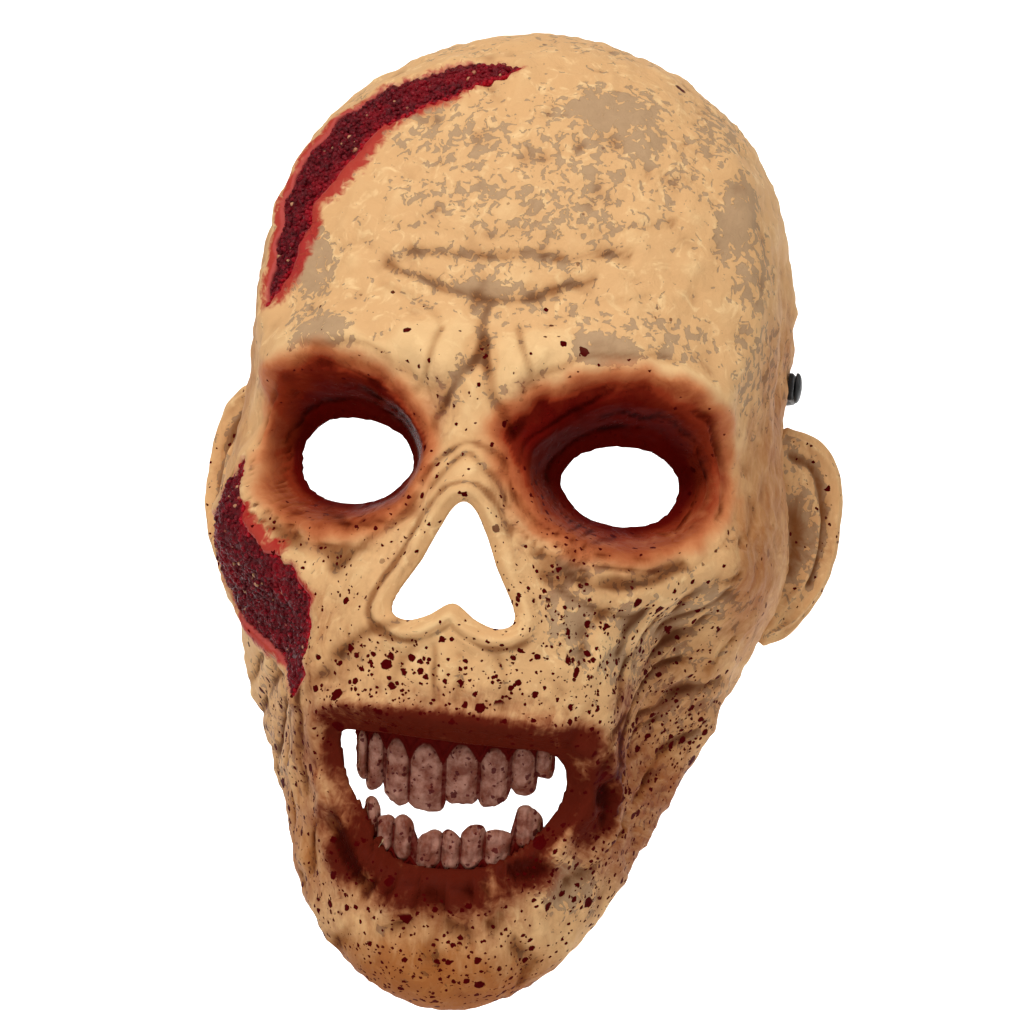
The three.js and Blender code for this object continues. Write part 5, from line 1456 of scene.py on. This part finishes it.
def tooth_row(name, teeth, upper):
    """Row of teeth: each column runs from the gum's seat behind the lip to its tooth's rounded tip. With
    t from -1 to 1 across a tooth, its front bulges by 1 less t to the power 2.4 and sinks into the gap
    by t to the seventh."""
    t = (2 * np.arange(TOOTH_COLUMNS) + 1) / TOOTH_COLUMNS - 1
    rows = np.array(teeth)
    middle, width, tip = (np.repeat(rows[:, k], TOOTH_COLUMNS) for k in range(3))
    t = np.tile(t, len(rows))
    x = (middle + t * width / 2) * MOUTH_SIZE[0] + MOUTH_SHIFT
    way = -1 if upper else 1
    rounding = way * (TIP_ROUNDING * np.abs(t) ** 3 + TIP_UNEVEN * np.sin(36 * middle + 1.3 * t))
    seat = mouth_edge(x, upper) - way * GUM_SEAT
    tip_z = -MOUTH_TOP - (tip + rounding) * MOUTH_SIZE[1]
    share = np.linspace(0, 1, TOOTH_LEVELS)[:, None]
    z = seat + (tip_z - seat) * share
    xs = np.broadcast_to(x, z.shape)
    depth = inner_depth(xs.copy(), z.copy()) + GUM_SETBACK
    line = GUM_LINE + GUM_ARCH * np.abs(t) ** 2.2
    crown = ease((share - line) / CROWN_START)
    round_tip = ease((1 - share) / TIP_FADE) ** 0.5
    bulge = TOOTH_BULGE * (0.25 + 0.75 * crown * (1 - np.abs(t) ** 2.4)) * (0.3 + 0.7 * round_tip)
    groove = TOOTH_GROOVE * np.abs(t) ** 7 * ease((share - GUM_LINE) / 0.3)
    gum_roll = GUM_ROLL * bell((share - line + 0.055) / 0.035)
    place = np.stack([xs, depth, z], -1)
    ridge = 0.18 * waves(place, 2.6, 41) * crown + 0.1 * waves(place * (1, 1, 0.25), 1.3, 42) * crown
    front = np.stack([xs, depth - bulge + groove - gum_roll - ridge, z], -1)
    back = np.stack([xs, depth + TOOTH_THICKNESS + 0 * z, z], -1)
    gum = np.maximum(1 - ease((share - line + 0.04) / 0.1), 0.8 * np.abs(t) ** 12)
    if upper:
        front, back, gum = front[::-1], back[::-1], gum[::-1]
    points, faces, _, source = closed_wall(front, back, [split_faces(*front.shape[:2])], 0.4)
    gum = np.broadcast_to(gum, front.shape[:2]).ravel()
    painted = {"gum": gum[source], "spatter": np.full(len(points), TOOTH_SPATTER)}
    return add_mesh(name, to_row(points), faces, painted)


def crumb_shape():
    """Low ball with its poles closed: rings of points at even turns, in unit size, and its triangles."""
    rings = np.linspace(0, np.pi, CRUMB_RINGS + 1)[1:-1]
    turns = np.arange(CRUMB_SIDES) * 2 * np.pi / CRUMB_SIDES
    ring = np.stack([np.sin(rings)[:, None] * np.cos(turns), np.sin(rings)[:, None] * np.sin(turns),
                     np.cos(rings)[:, None] + 0 * turns], -1).reshape(-1, 3)
    points = np.vstack([ring, [(0, 0, 1), (0, 0, -1)]])
    k = np.arange(CRUMB_SIDES)
    n = (k + 1) % CRUMB_SIDES
    top, bottom = len(ring), len(ring) + 1
    tris = [np.stack([top + 0 * k, k, n], -1)]
    for r in range(CRUMB_RINGS - 2):
        a, b = r * CRUMB_SIDES, (r + 1) * CRUMB_SIDES
        tris += [np.stack([a + k, b + k, b + n], -1), np.stack([a + k, b + n, a + n], -1)]
    last = (CRUMB_RINGS - 2) * CRUMB_SIDES
    tris.append(np.stack([last + n, last + k, bottom + 0 * k], -1))
    return points, np.vstack(tris)


def wound_fill(name, rows, columns, crumbs, seed):
    """Fill of a wound: a bed between its two torn edges, drawn in by a little play, with loose crumb
    of random size pressed into it."""
    one, two = (resample(edge, rows) for edge in WOUNDS[name])
    share = np.linspace(0, 1, columns)[None, :, None]
    across = np.linalg.norm(two - one, axis=1)[:, None, None]
    inset = np.clip(BED_INSET / np.maximum(across, 0.1), 0, 0.45)
    share = inset + share * (1 - 2 * inset)
    grid = one[:, None] * (1 - share) + two[:, None] * share
    grid = drop_to_face(grid)
    normals, flipped = grid_normals(grid), False
    if (normals[rows // 2, columns // 2] @ (grid[rows // 2, columns // 2] - (0, 0, POLE_Z))) < 0:
        grid, normals, flipped = grid[:, ::-1], -normals[:, ::-1], True
    lift = body_relief(grid)
    middle = np.sin(np.linspace(0, np.pi, columns))[None] ** 0.5
    dome = FILL_RISE * middle
    rough = 0.35 * waves(grid, 2.2, seed) + 0.35 * waves(grid, 5.0, seed + 1)
    front = grid + normals * (lift + dome + rough * middle)[..., None]
    back = grid + normals * (lift - FILL_SINK)[..., None]
    points, faces, shares, source = closed_wall(front, back, [split_faces(rows, columns)], 0.1, 1)
    grains = np.full(len(points), 0.35)
    edge = np.broadcast_to(bell(np.minimum(share, 1 - share) * across / 1.6)[..., 0], front.shape[:2])
    edge = edge if name == "cheek_wound" else edge * np.broadcast_to(share[..., 0] > 0.5, edge.shape)
    if flipped:
        edge = edge[:, ::-1]
    rim = edge.ravel()[source] * np.isin(shares, (0, 1))
    rng = np.random.default_rng(seed)
    area = np.linalg.norm(np.cross(front[1:, :-1] - front[:-1, :-1], front[:-1, 1:] - front[:-1, :-1]),
                          axis=-1)
    picked = rng.choice(area.size, crumbs, p=(area / area.sum()).ravel())
    j, i = np.unravel_index(picked, area.shape)
    u, v = rng.random((2, crumbs, 1))
    spot = (front[j, i] * (1 - u) * (1 - v) + front[j + 1, i] * u * (1 - v)
            + front[j, i + 1] * (1 - u) * v + front[j + 1, i + 1] * u * v)
    size = rng.uniform(*CRUMB_RADII, (crumbs, 1, 1)) * rng.uniform(0.75, 1.25, (crumbs, 1, 3))
    shape, tris = crumb_shape()
    spin = np.linalg.qr(rng.normal(size=(crumbs, 3, 3)))[0]
    spin *= np.sign(np.linalg.det(spin))[:, None, None]
    balls = (shape[None] * size) @ spin + spot[:, None]
    numbers = len(points) + (np.arange(crumbs) * len(shape))[:, None, None] + tris[None]
    points = np.vstack([points, balls.reshape(-1, 3)])
    grains = np.concatenate([grains, np.repeat(rng.random(crumbs), len(shape))])
    rim = np.concatenate([rim, np.repeat(edge[j, i], len(shape))])
    return add_mesh(name + "_crumb", to_row(points), faces + [numbers.reshape(-1, 3)],
                    {"grain": grains, "rim": rim})


def strap_seat():
    """Half the distance between the strap's middle lines where it lies on the skin."""
    return side_point(1, np.array(RIVET_SETBACK), np.array(STRAP_HEIGHT))[0] + GAP + STRAP_THICKNESS / 2


def strap_band():
    """Band on edge: straight along both sides of the skin, then half an ellipse round the back."""
    bend = float(section_sizes(np.array(math.pi / 6))["rim"])
    straight = bend - RIVET_SETBACK + STRAP_WIDTH
    angle = np.linspace(0, np.pi, STRAP_STEPS)
    path = np.stack([strap_seat() * np.cos(angle), bend + (STRAP_REACH - bend) * np.sin(angle)], -1)
    lead = np.linspace(1, 0, STRAP_LEAD_STEPS, endpoint=False)[:, None] * (0, -straight)
    path = np.vstack([path[0] + lead, path, path[-1] + lead[::-1]])[::-1]
    level = np.linspace(-1, 1, STRAP_ACROSS)
    height = STRAP_HEIGHT + level[:, None] * (STRAP_WIDTH / 2 - STRAP_MARGIN)
    grid = np.stack(np.broadcast_arrays(path[:, 0], path[:, 1], height), -1)
    normals = grid_normals(grid)
    half = STRAP_THICKNESS / 2 * (1 - 0.12 * np.abs(level) ** 6)[:, None, None]
    front, back = grid + normals * half, grid - normals * half
    points, faces, _, source = closed_wall(front, back, [split_faces(*grid.shape[:2])], 0.25)
    run = np.concatenate([[0], np.cumsum(np.linalg.norm(np.diff(path, axis=0), axis=1))]) * MM
    uv = np.stack(np.broadcast_arrays(run[None], (level[:, None] + 1) / 2), -1).reshape(-1, 2)[source]
    return add_mesh("strap_band", to_row(points), faces, None, uv)


def rivet(side):
    """Rivet turned about a sideways line: flat inner head, shank, and a domed outer head with a
    rounded edge."""
    shank, head = RIVET_SHANK / 2, RIVET_HEAD / 2
    outer = strap_seat() + STRAP_THICKNESS / 2 + GAP
    inner = strap_seat() - STRAP_THICKNESS / 2 - GAP - RIVET_PLAY - WALL
    angle = np.linspace(0, np.pi / 2, 9)[:-1]
    dome = np.stack([head * np.cos(angle), outer + RIVET_HEAD_HEIGHT * (0.3 + 0.7 * np.sin(angle))], -1)
    flat = inner - RIVET_HEAD_HEIGHT / 2
    profile = np.vstack([
        [(head * 0.5, flat), (head - RIVET_EDGE, flat), (head, flat + RIVET_EDGE),
         (head, inner - RIVET_INNER_EDGE), (head - RIVET_INNER_EDGE, inner), (shank, inner),
         (shank, outer), (head - RIVET_OUTER_EDGE, outer), (head, outer + RIVET_OUTER_EDGE)], dome])
    turn = np.arange(RIVET_SIDES) * 2 * np.pi / RIVET_SIDES
    radius, along = profile[:, 0][:, None], profile[:, 1][:, None]
    ring = np.stack([side * along + 0 * turn, RIVET_SETBACK + radius * np.cos(turn),
                     STRAP_HEIGHT + radius * np.sin(turn)], -1).reshape(-1, 3)
    ends = [(side * flat, RIVET_SETBACK, STRAP_HEIGHT),
            (side * (outer + RIVET_HEAD_HEIGHT), RIVET_SETBACK, STRAP_HEIGHT)]
    points = np.vstack([ring, ends])
    k = np.arange(RIVET_SIDES)
    n = (k + 1) % RIVET_SIDES
    row = (np.arange(len(profile) - 1) * RIVET_SIDES)[:, None]
    quads = np.stack([row + k, row + n, row + RIVET_SIDES + n, row + RIVET_SIDES + k], -1).reshape(-1, 4)
    last = (len(profile) - 1) * RIVET_SIDES
    tris = np.vstack([np.stack([n, k, len(ring) + 0 * k], -1),
                      np.stack([last + k, last + n, len(ring) + 1 + 0 * k], -1)])
    if side < 0:
        quads, tris = quads[:, ::-1], tris[:, ::-1]
    return add_mesh("rivet_left" if side > 0 else "rivet_right", to_row(points), [quads, tris])


class MaskSizes(bpy.types.PropertyGroup):
    """Sizes a maker would change."""

    wrinkle_share: FloatProperty(name="Wrinkle depth", description="Share of the wrinkles' own depth",
                                 default=1.0, min=0.0, max=2.0, subtype="FACTOR")
    floor_drop: FloatProperty(name="Floor drop", description="Distance from the chin to the floor",
                              default=0.12, min=0.01, max=1.0, unit="LENGTH")


def colour(name, description, *rgb):
    """A colour property whose default is an sRGB colour from 0 to 255."""
    return FloatVectorProperty(name=name, description=description, subtype="COLOR", size=4,
                               min=0.0, max=1.0, default=tone(*rgb))


class MaskColours(bpy.types.PropertyGroup):
    """Colours of the paint."""

    cream: colour("Cream", "Dry-brushed top coat", 230, 182, 128)
    # Light cream top coat, also the painted highlight on the raised relief
    cream_light: colour("Light cream", "Top coat on its high spots", 244, 204, 148)
    cream_shade: colour("Shaded cream", "Top coat where it is thin", 222, 172, 118)
    taupe: colour("Grey-brown", "Undercoat in bare patches", 172, 140, 106)
    taupe_light: colour("Light grey-brown", "Undercoat where it is thin", 190, 154, 118)
    # Brown wash over the lower face, also painted shade there and on the sides of the head
    wash: colour("Wash", "Brown wash over the lower face, multiplied", 190, 146, 110)
    # Painted shade in the wrinkles, pits and hollows, multiplied
    crease: colour("Crease", "Wash in the wrinkles, multiplied", 160, 118, 88)
    flush: colour("Flush", "Red-brown round the mouth", 144, 68, 38)
    dried_blood: colour("Dried blood", "Darkest red-brown", 84, 16, 9)
    salmon: colour("Salmon", "Round the eye sockets", 206, 124, 76)
    socket: colour("Socket red", "Inside the eye sockets", 150, 56, 30)
    # Darkest socket red, also painted shade under the brow
    socket_dark_and_shade: colour("Darkest socket red", "Under the brow and at the eye holes' edges", 56, 6, 4)
    socket_deep: colour("Deep socket red", "Round the eye holes", 92, 12, 7)
    crimson: colour("Crimson", "Spray at the wounds' edges", 172, 8, 28)
    torn_lip: colour("Torn lip", "Pale edge of the torn skin", 206, 108, 104)
    wound: colour("Wound", "Crumb in the wounds", 88, 10, 18)
    wound_light: colour("Light wound", "Brighter crumb", 126, 14, 28)
    # Painted shade between the crumbs
    wound_dark: colour("Dark wound", "Between the crumbs", 44, 6, 10)
    # Painted glints: pale grains standing for sparkle on the crumb
    glint: colour("Glint", "Pale grains among the crumb", 205, 150, 110)
    drop: colour("Blood drop", "Spattered drops", 76, 5, 6)
    tooth: colour("Tooth", "Enamel", 172, 122, 104)
    tooth_shade: colour("Shaded tooth", "Enamel in its hollows", 118, 62, 46)
    gum: colour("Gum", "Gums and gaps", 84, 12, 8)
    inside: colour("Inside", "Unpainted latex", 214, 184, 142)
    elastic: colour("Elastic", "Ribs of the strap", 34, 34, 36)
    elastic_gap: colour("Elastic gap", "Between the ribs", 10, 10, 11)
    rivet: colour("Rivet", "Plastic of the rivets", 30, 30, 32)
    rivet_shade: colour("Rivet grain", "Grain of the rivets", 20, 20, 22)


def palette(context):
    """The scene's colours by name."""
    group = context.scene.mask_colours
    return {key: tuple(getattr(group, key)) for key in MaskColours.__annotations__}


def latex(context):
    """The painted latex, made once."""
    return bpy.data.materials.get("painted_latex") or painted_latex(palette(context))


class MASK_OT_skin(bpy.types.Operator):
    """Build the skin with its openings, wrinkles and wounds' beds."""

    bl_idname = "mask.skin"
    bl_label = "Skin"

    def execute(self, context):
        piece = mask_skin(context.scene.mask_sizes.wrinkle_share)
        dress(piece, latex(context), "latex_skin", "mask_shell")
        return {"FINISHED"}


class MASK_OT_ears(bpy.types.Operator):
    """Build both ears."""

    bl_idname = "mask.ears"
    bl_label = "Ears"

    def execute(self, context):
        for side in (1, -1):
            dress(ear(side), latex(context), "latex_skin")
        return {"FINISHED"}


class MASK_OT_teeth(bpy.types.Operator):
    """Build the upper and lower row of teeth."""

    bl_idname = "mask.teeth"
    bl_label = "Teeth"

    def execute(self, context):
        material = tooth_latex(palette(context))
        dress(tooth_row("teeth_upper", UPPER_TEETH, True), material, "teeth", "upper_teeth")
        dress(tooth_row("teeth_lower", LOWER_TEETH, False), material, "teeth", "lower_teeth")
        return {"FINISHED"}


class MASK_OT_wounds(bpy.types.Operator):
    """Build the granular fills of both wounds."""

    bl_idname = "mask.wounds"
    bl_label = "Wounds"

    def execute(self, context):
        material = wound_crumb(palette(context))
        for name, sizes in FILLS.items():
            dress(wound_fill(name, *sizes), material, "wound_fill", name)
        return {"FINISHED"}


class MASK_OT_strap(bpy.types.Operator):
    """Build the elastic strap and its two rivets."""

    bl_idname = "mask.strap"
    bl_label = "Strap and rivets"

    def execute(self, context):
        colours = palette(context)
        dress(strap_band(), woven_elastic(colours), "elastic", "head_strap")
        plastic = rivet_plastic(colours)
        dress(rivet(1), plastic, "rivet", "strap_rivet_left")
        dress(rivet(-1), plastic, "rivet", "strap_rivet_right")
        return {"FINISHED"}


class MASK_OT_stage(bpy.types.Operator):
    """Build the floor, the lights and the camera."""

    bl_idname = "mask.stage"
    bl_label = "Stage"

    def execute(self, context):
        scene = context.scene
        turn = np.linspace(0, np.pi / 2, FLOOR_BEND_STEPS)
        y = np.concatenate([[FLOOR_FRONT], FLOOR_BACK + FLOOR_BEND * np.sin(turn), [FLOOR_BACK + FLOOR_BEND]])
        rise = np.concatenate([[0.0], FLOOR_BEND * (1 - np.cos(turn)), [FLOOR_WALL]])
        across, depth = np.meshgrid([-FLOOR_HALF_WIDTH, FLOOR_HALF_WIDTH], y)
        height = np.broadcast_to(CAD_BOX[0].z - scene.mask_sizes.floor_drop + rise[:, None], across.shape)
        grid = np.stack([across, depth, height], -1)
        floor = add_mesh("studio_floor", grid.reshape(-1, 3), [split_faces(*across.shape)])
        paint = Paint("studio_paper")
        paper = paint.mix(paint.noise(3.0), (0.9, 0.9, 0.9, 1), (0.93, 0.93, 0.93, 1))
        floor.data.materials.append(paint.finish(base_color=paper, roughness=0.9))
        for name, place, aim, size, power, spread in LAMPS:
            light = bpy.data.lights.new(name, "AREA")
            light.shape, light.size, light.energy = "DISK", size, power
            light.spread = math.radians(spread)
            lamp = bpy.data.objects.new(name, light)
            scene.collection.objects.link(lamp)
            lamp.location = place
            lamp.rotation_euler = tuple(look_along(np.subtract(aim, place)).to_euler())
        world = bpy.data.worlds.new("studio")
        world.use_nodes = True
        sky = world.node_tree.nodes["Background"].inputs
        sky[0].default_value, sky[1].default_value = SKY_COLOUR, SKY_STRENGTH
        scene.world = world
        scene.view_settings.view_transform = "Standard"
        scene.camera = photo_camera()
        return {"FINISHED"}


def look_along(way):
    """Rotation whose -Z runs along a direction and whose Y leans up."""
    d = np.asarray(way, float) / np.linalg.norm(way)
    right = np.cross(d, (0, 0, 1))
    right /= np.linalg.norm(right)
    up = np.cross(right, d)
    return Matrix([list(r) for r in np.stack([right, up, -d]).T])


def photo_camera():
    """Camera at the photograph's azimuth and roll, level with the eyes."""
    azimuth, roll = math.radians(CAMERA_AZIMUTH), math.radians(CAMERA_ROLL)
    ahead = np.array([-math.sin(azimuth), math.cos(azimuth), 0.0])
    right = np.array([math.cos(azimuth), math.sin(azimuth), 0.0])
    up = np.array([0.0, 0.0, 1.0])
    shift = CAMERA_OFFSET[0] * right + CAMERA_OFFSET[1] * up
    place = CAMERA_AIM - CAMERA_DISTANCE * ahead + shift
    turned_right = math.cos(roll) * right + math.sin(roll) * up
    turned_up = -math.sin(roll) * right + math.cos(roll) * up
    data = bpy.data.cameras.new("photo_camera")
    data.lens, data.sensor_width = CAMERA_LENS, CAMERA_SENSOR
    data.clip_start, data.clip_end = CAMERA_CLIP
    camera = bpy.data.objects.new("photo_camera", data)
    bpy.context.scene.collection.objects.link(camera)
    camera.matrix_world = Matrix.Translation(to_row(place)) @ Matrix(
        [list(r) for r in np.stack([turned_right, turned_up, -ahead]).T]).to_4x4()
    return camera


class MASK_PT_panel(bpy.types.Panel):
    """Lists the mask's pieces."""

    bl_idname = "MASK_PT_panel"
    bl_label = "Mask"
    bl_space_type = "VIEW_3D"
    bl_region_type = "UI"
    bl_category = "Mask"

    def draw(self, context):
        layout = self.layout
        for key in MaskSizes.__annotations__:
            layout.prop(context.scene.mask_sizes, key)
        for key in MaskColours.__annotations__:
            layout.prop(context.scene.mask_colours, key)
        for operator in OPERATORS:
            layout.operator(operator.bl_idname)


OPERATORS = (MASK_OT_stage, MASK_OT_skin, MASK_OT_ears, MASK_OT_teeth, MASK_OT_wounds, MASK_OT_strap)
CLASSES = (MaskSizes, MaskColours, *OPERATORS, MASK_PT_panel)


def register():
    for item in CLASSES:
        bpy.utils.register_class(item)
    bpy.types.Scene.mask_sizes = PointerProperty(type=MaskSizes)
    bpy.types.Scene.mask_colours = PointerProperty(type=MaskColours)


def unregister():
    del bpy.types.Scene.mask_colours
    del bpy.types.Scene.mask_sizes
    for item in reversed(CLASSES):
        bpy.utils.unregister_class(item)


def main():
    """Builds every piece."""
    register()
    bpy.ops.mask.stage()
    bpy.ops.mask.skin()
    bpy.ops.mask.ears()
    bpy.ops.mask.teeth()
    bpy.ops.mask.wounds()
    bpy.ops.mask.strap()


if __name__ == "__main__":
    main()
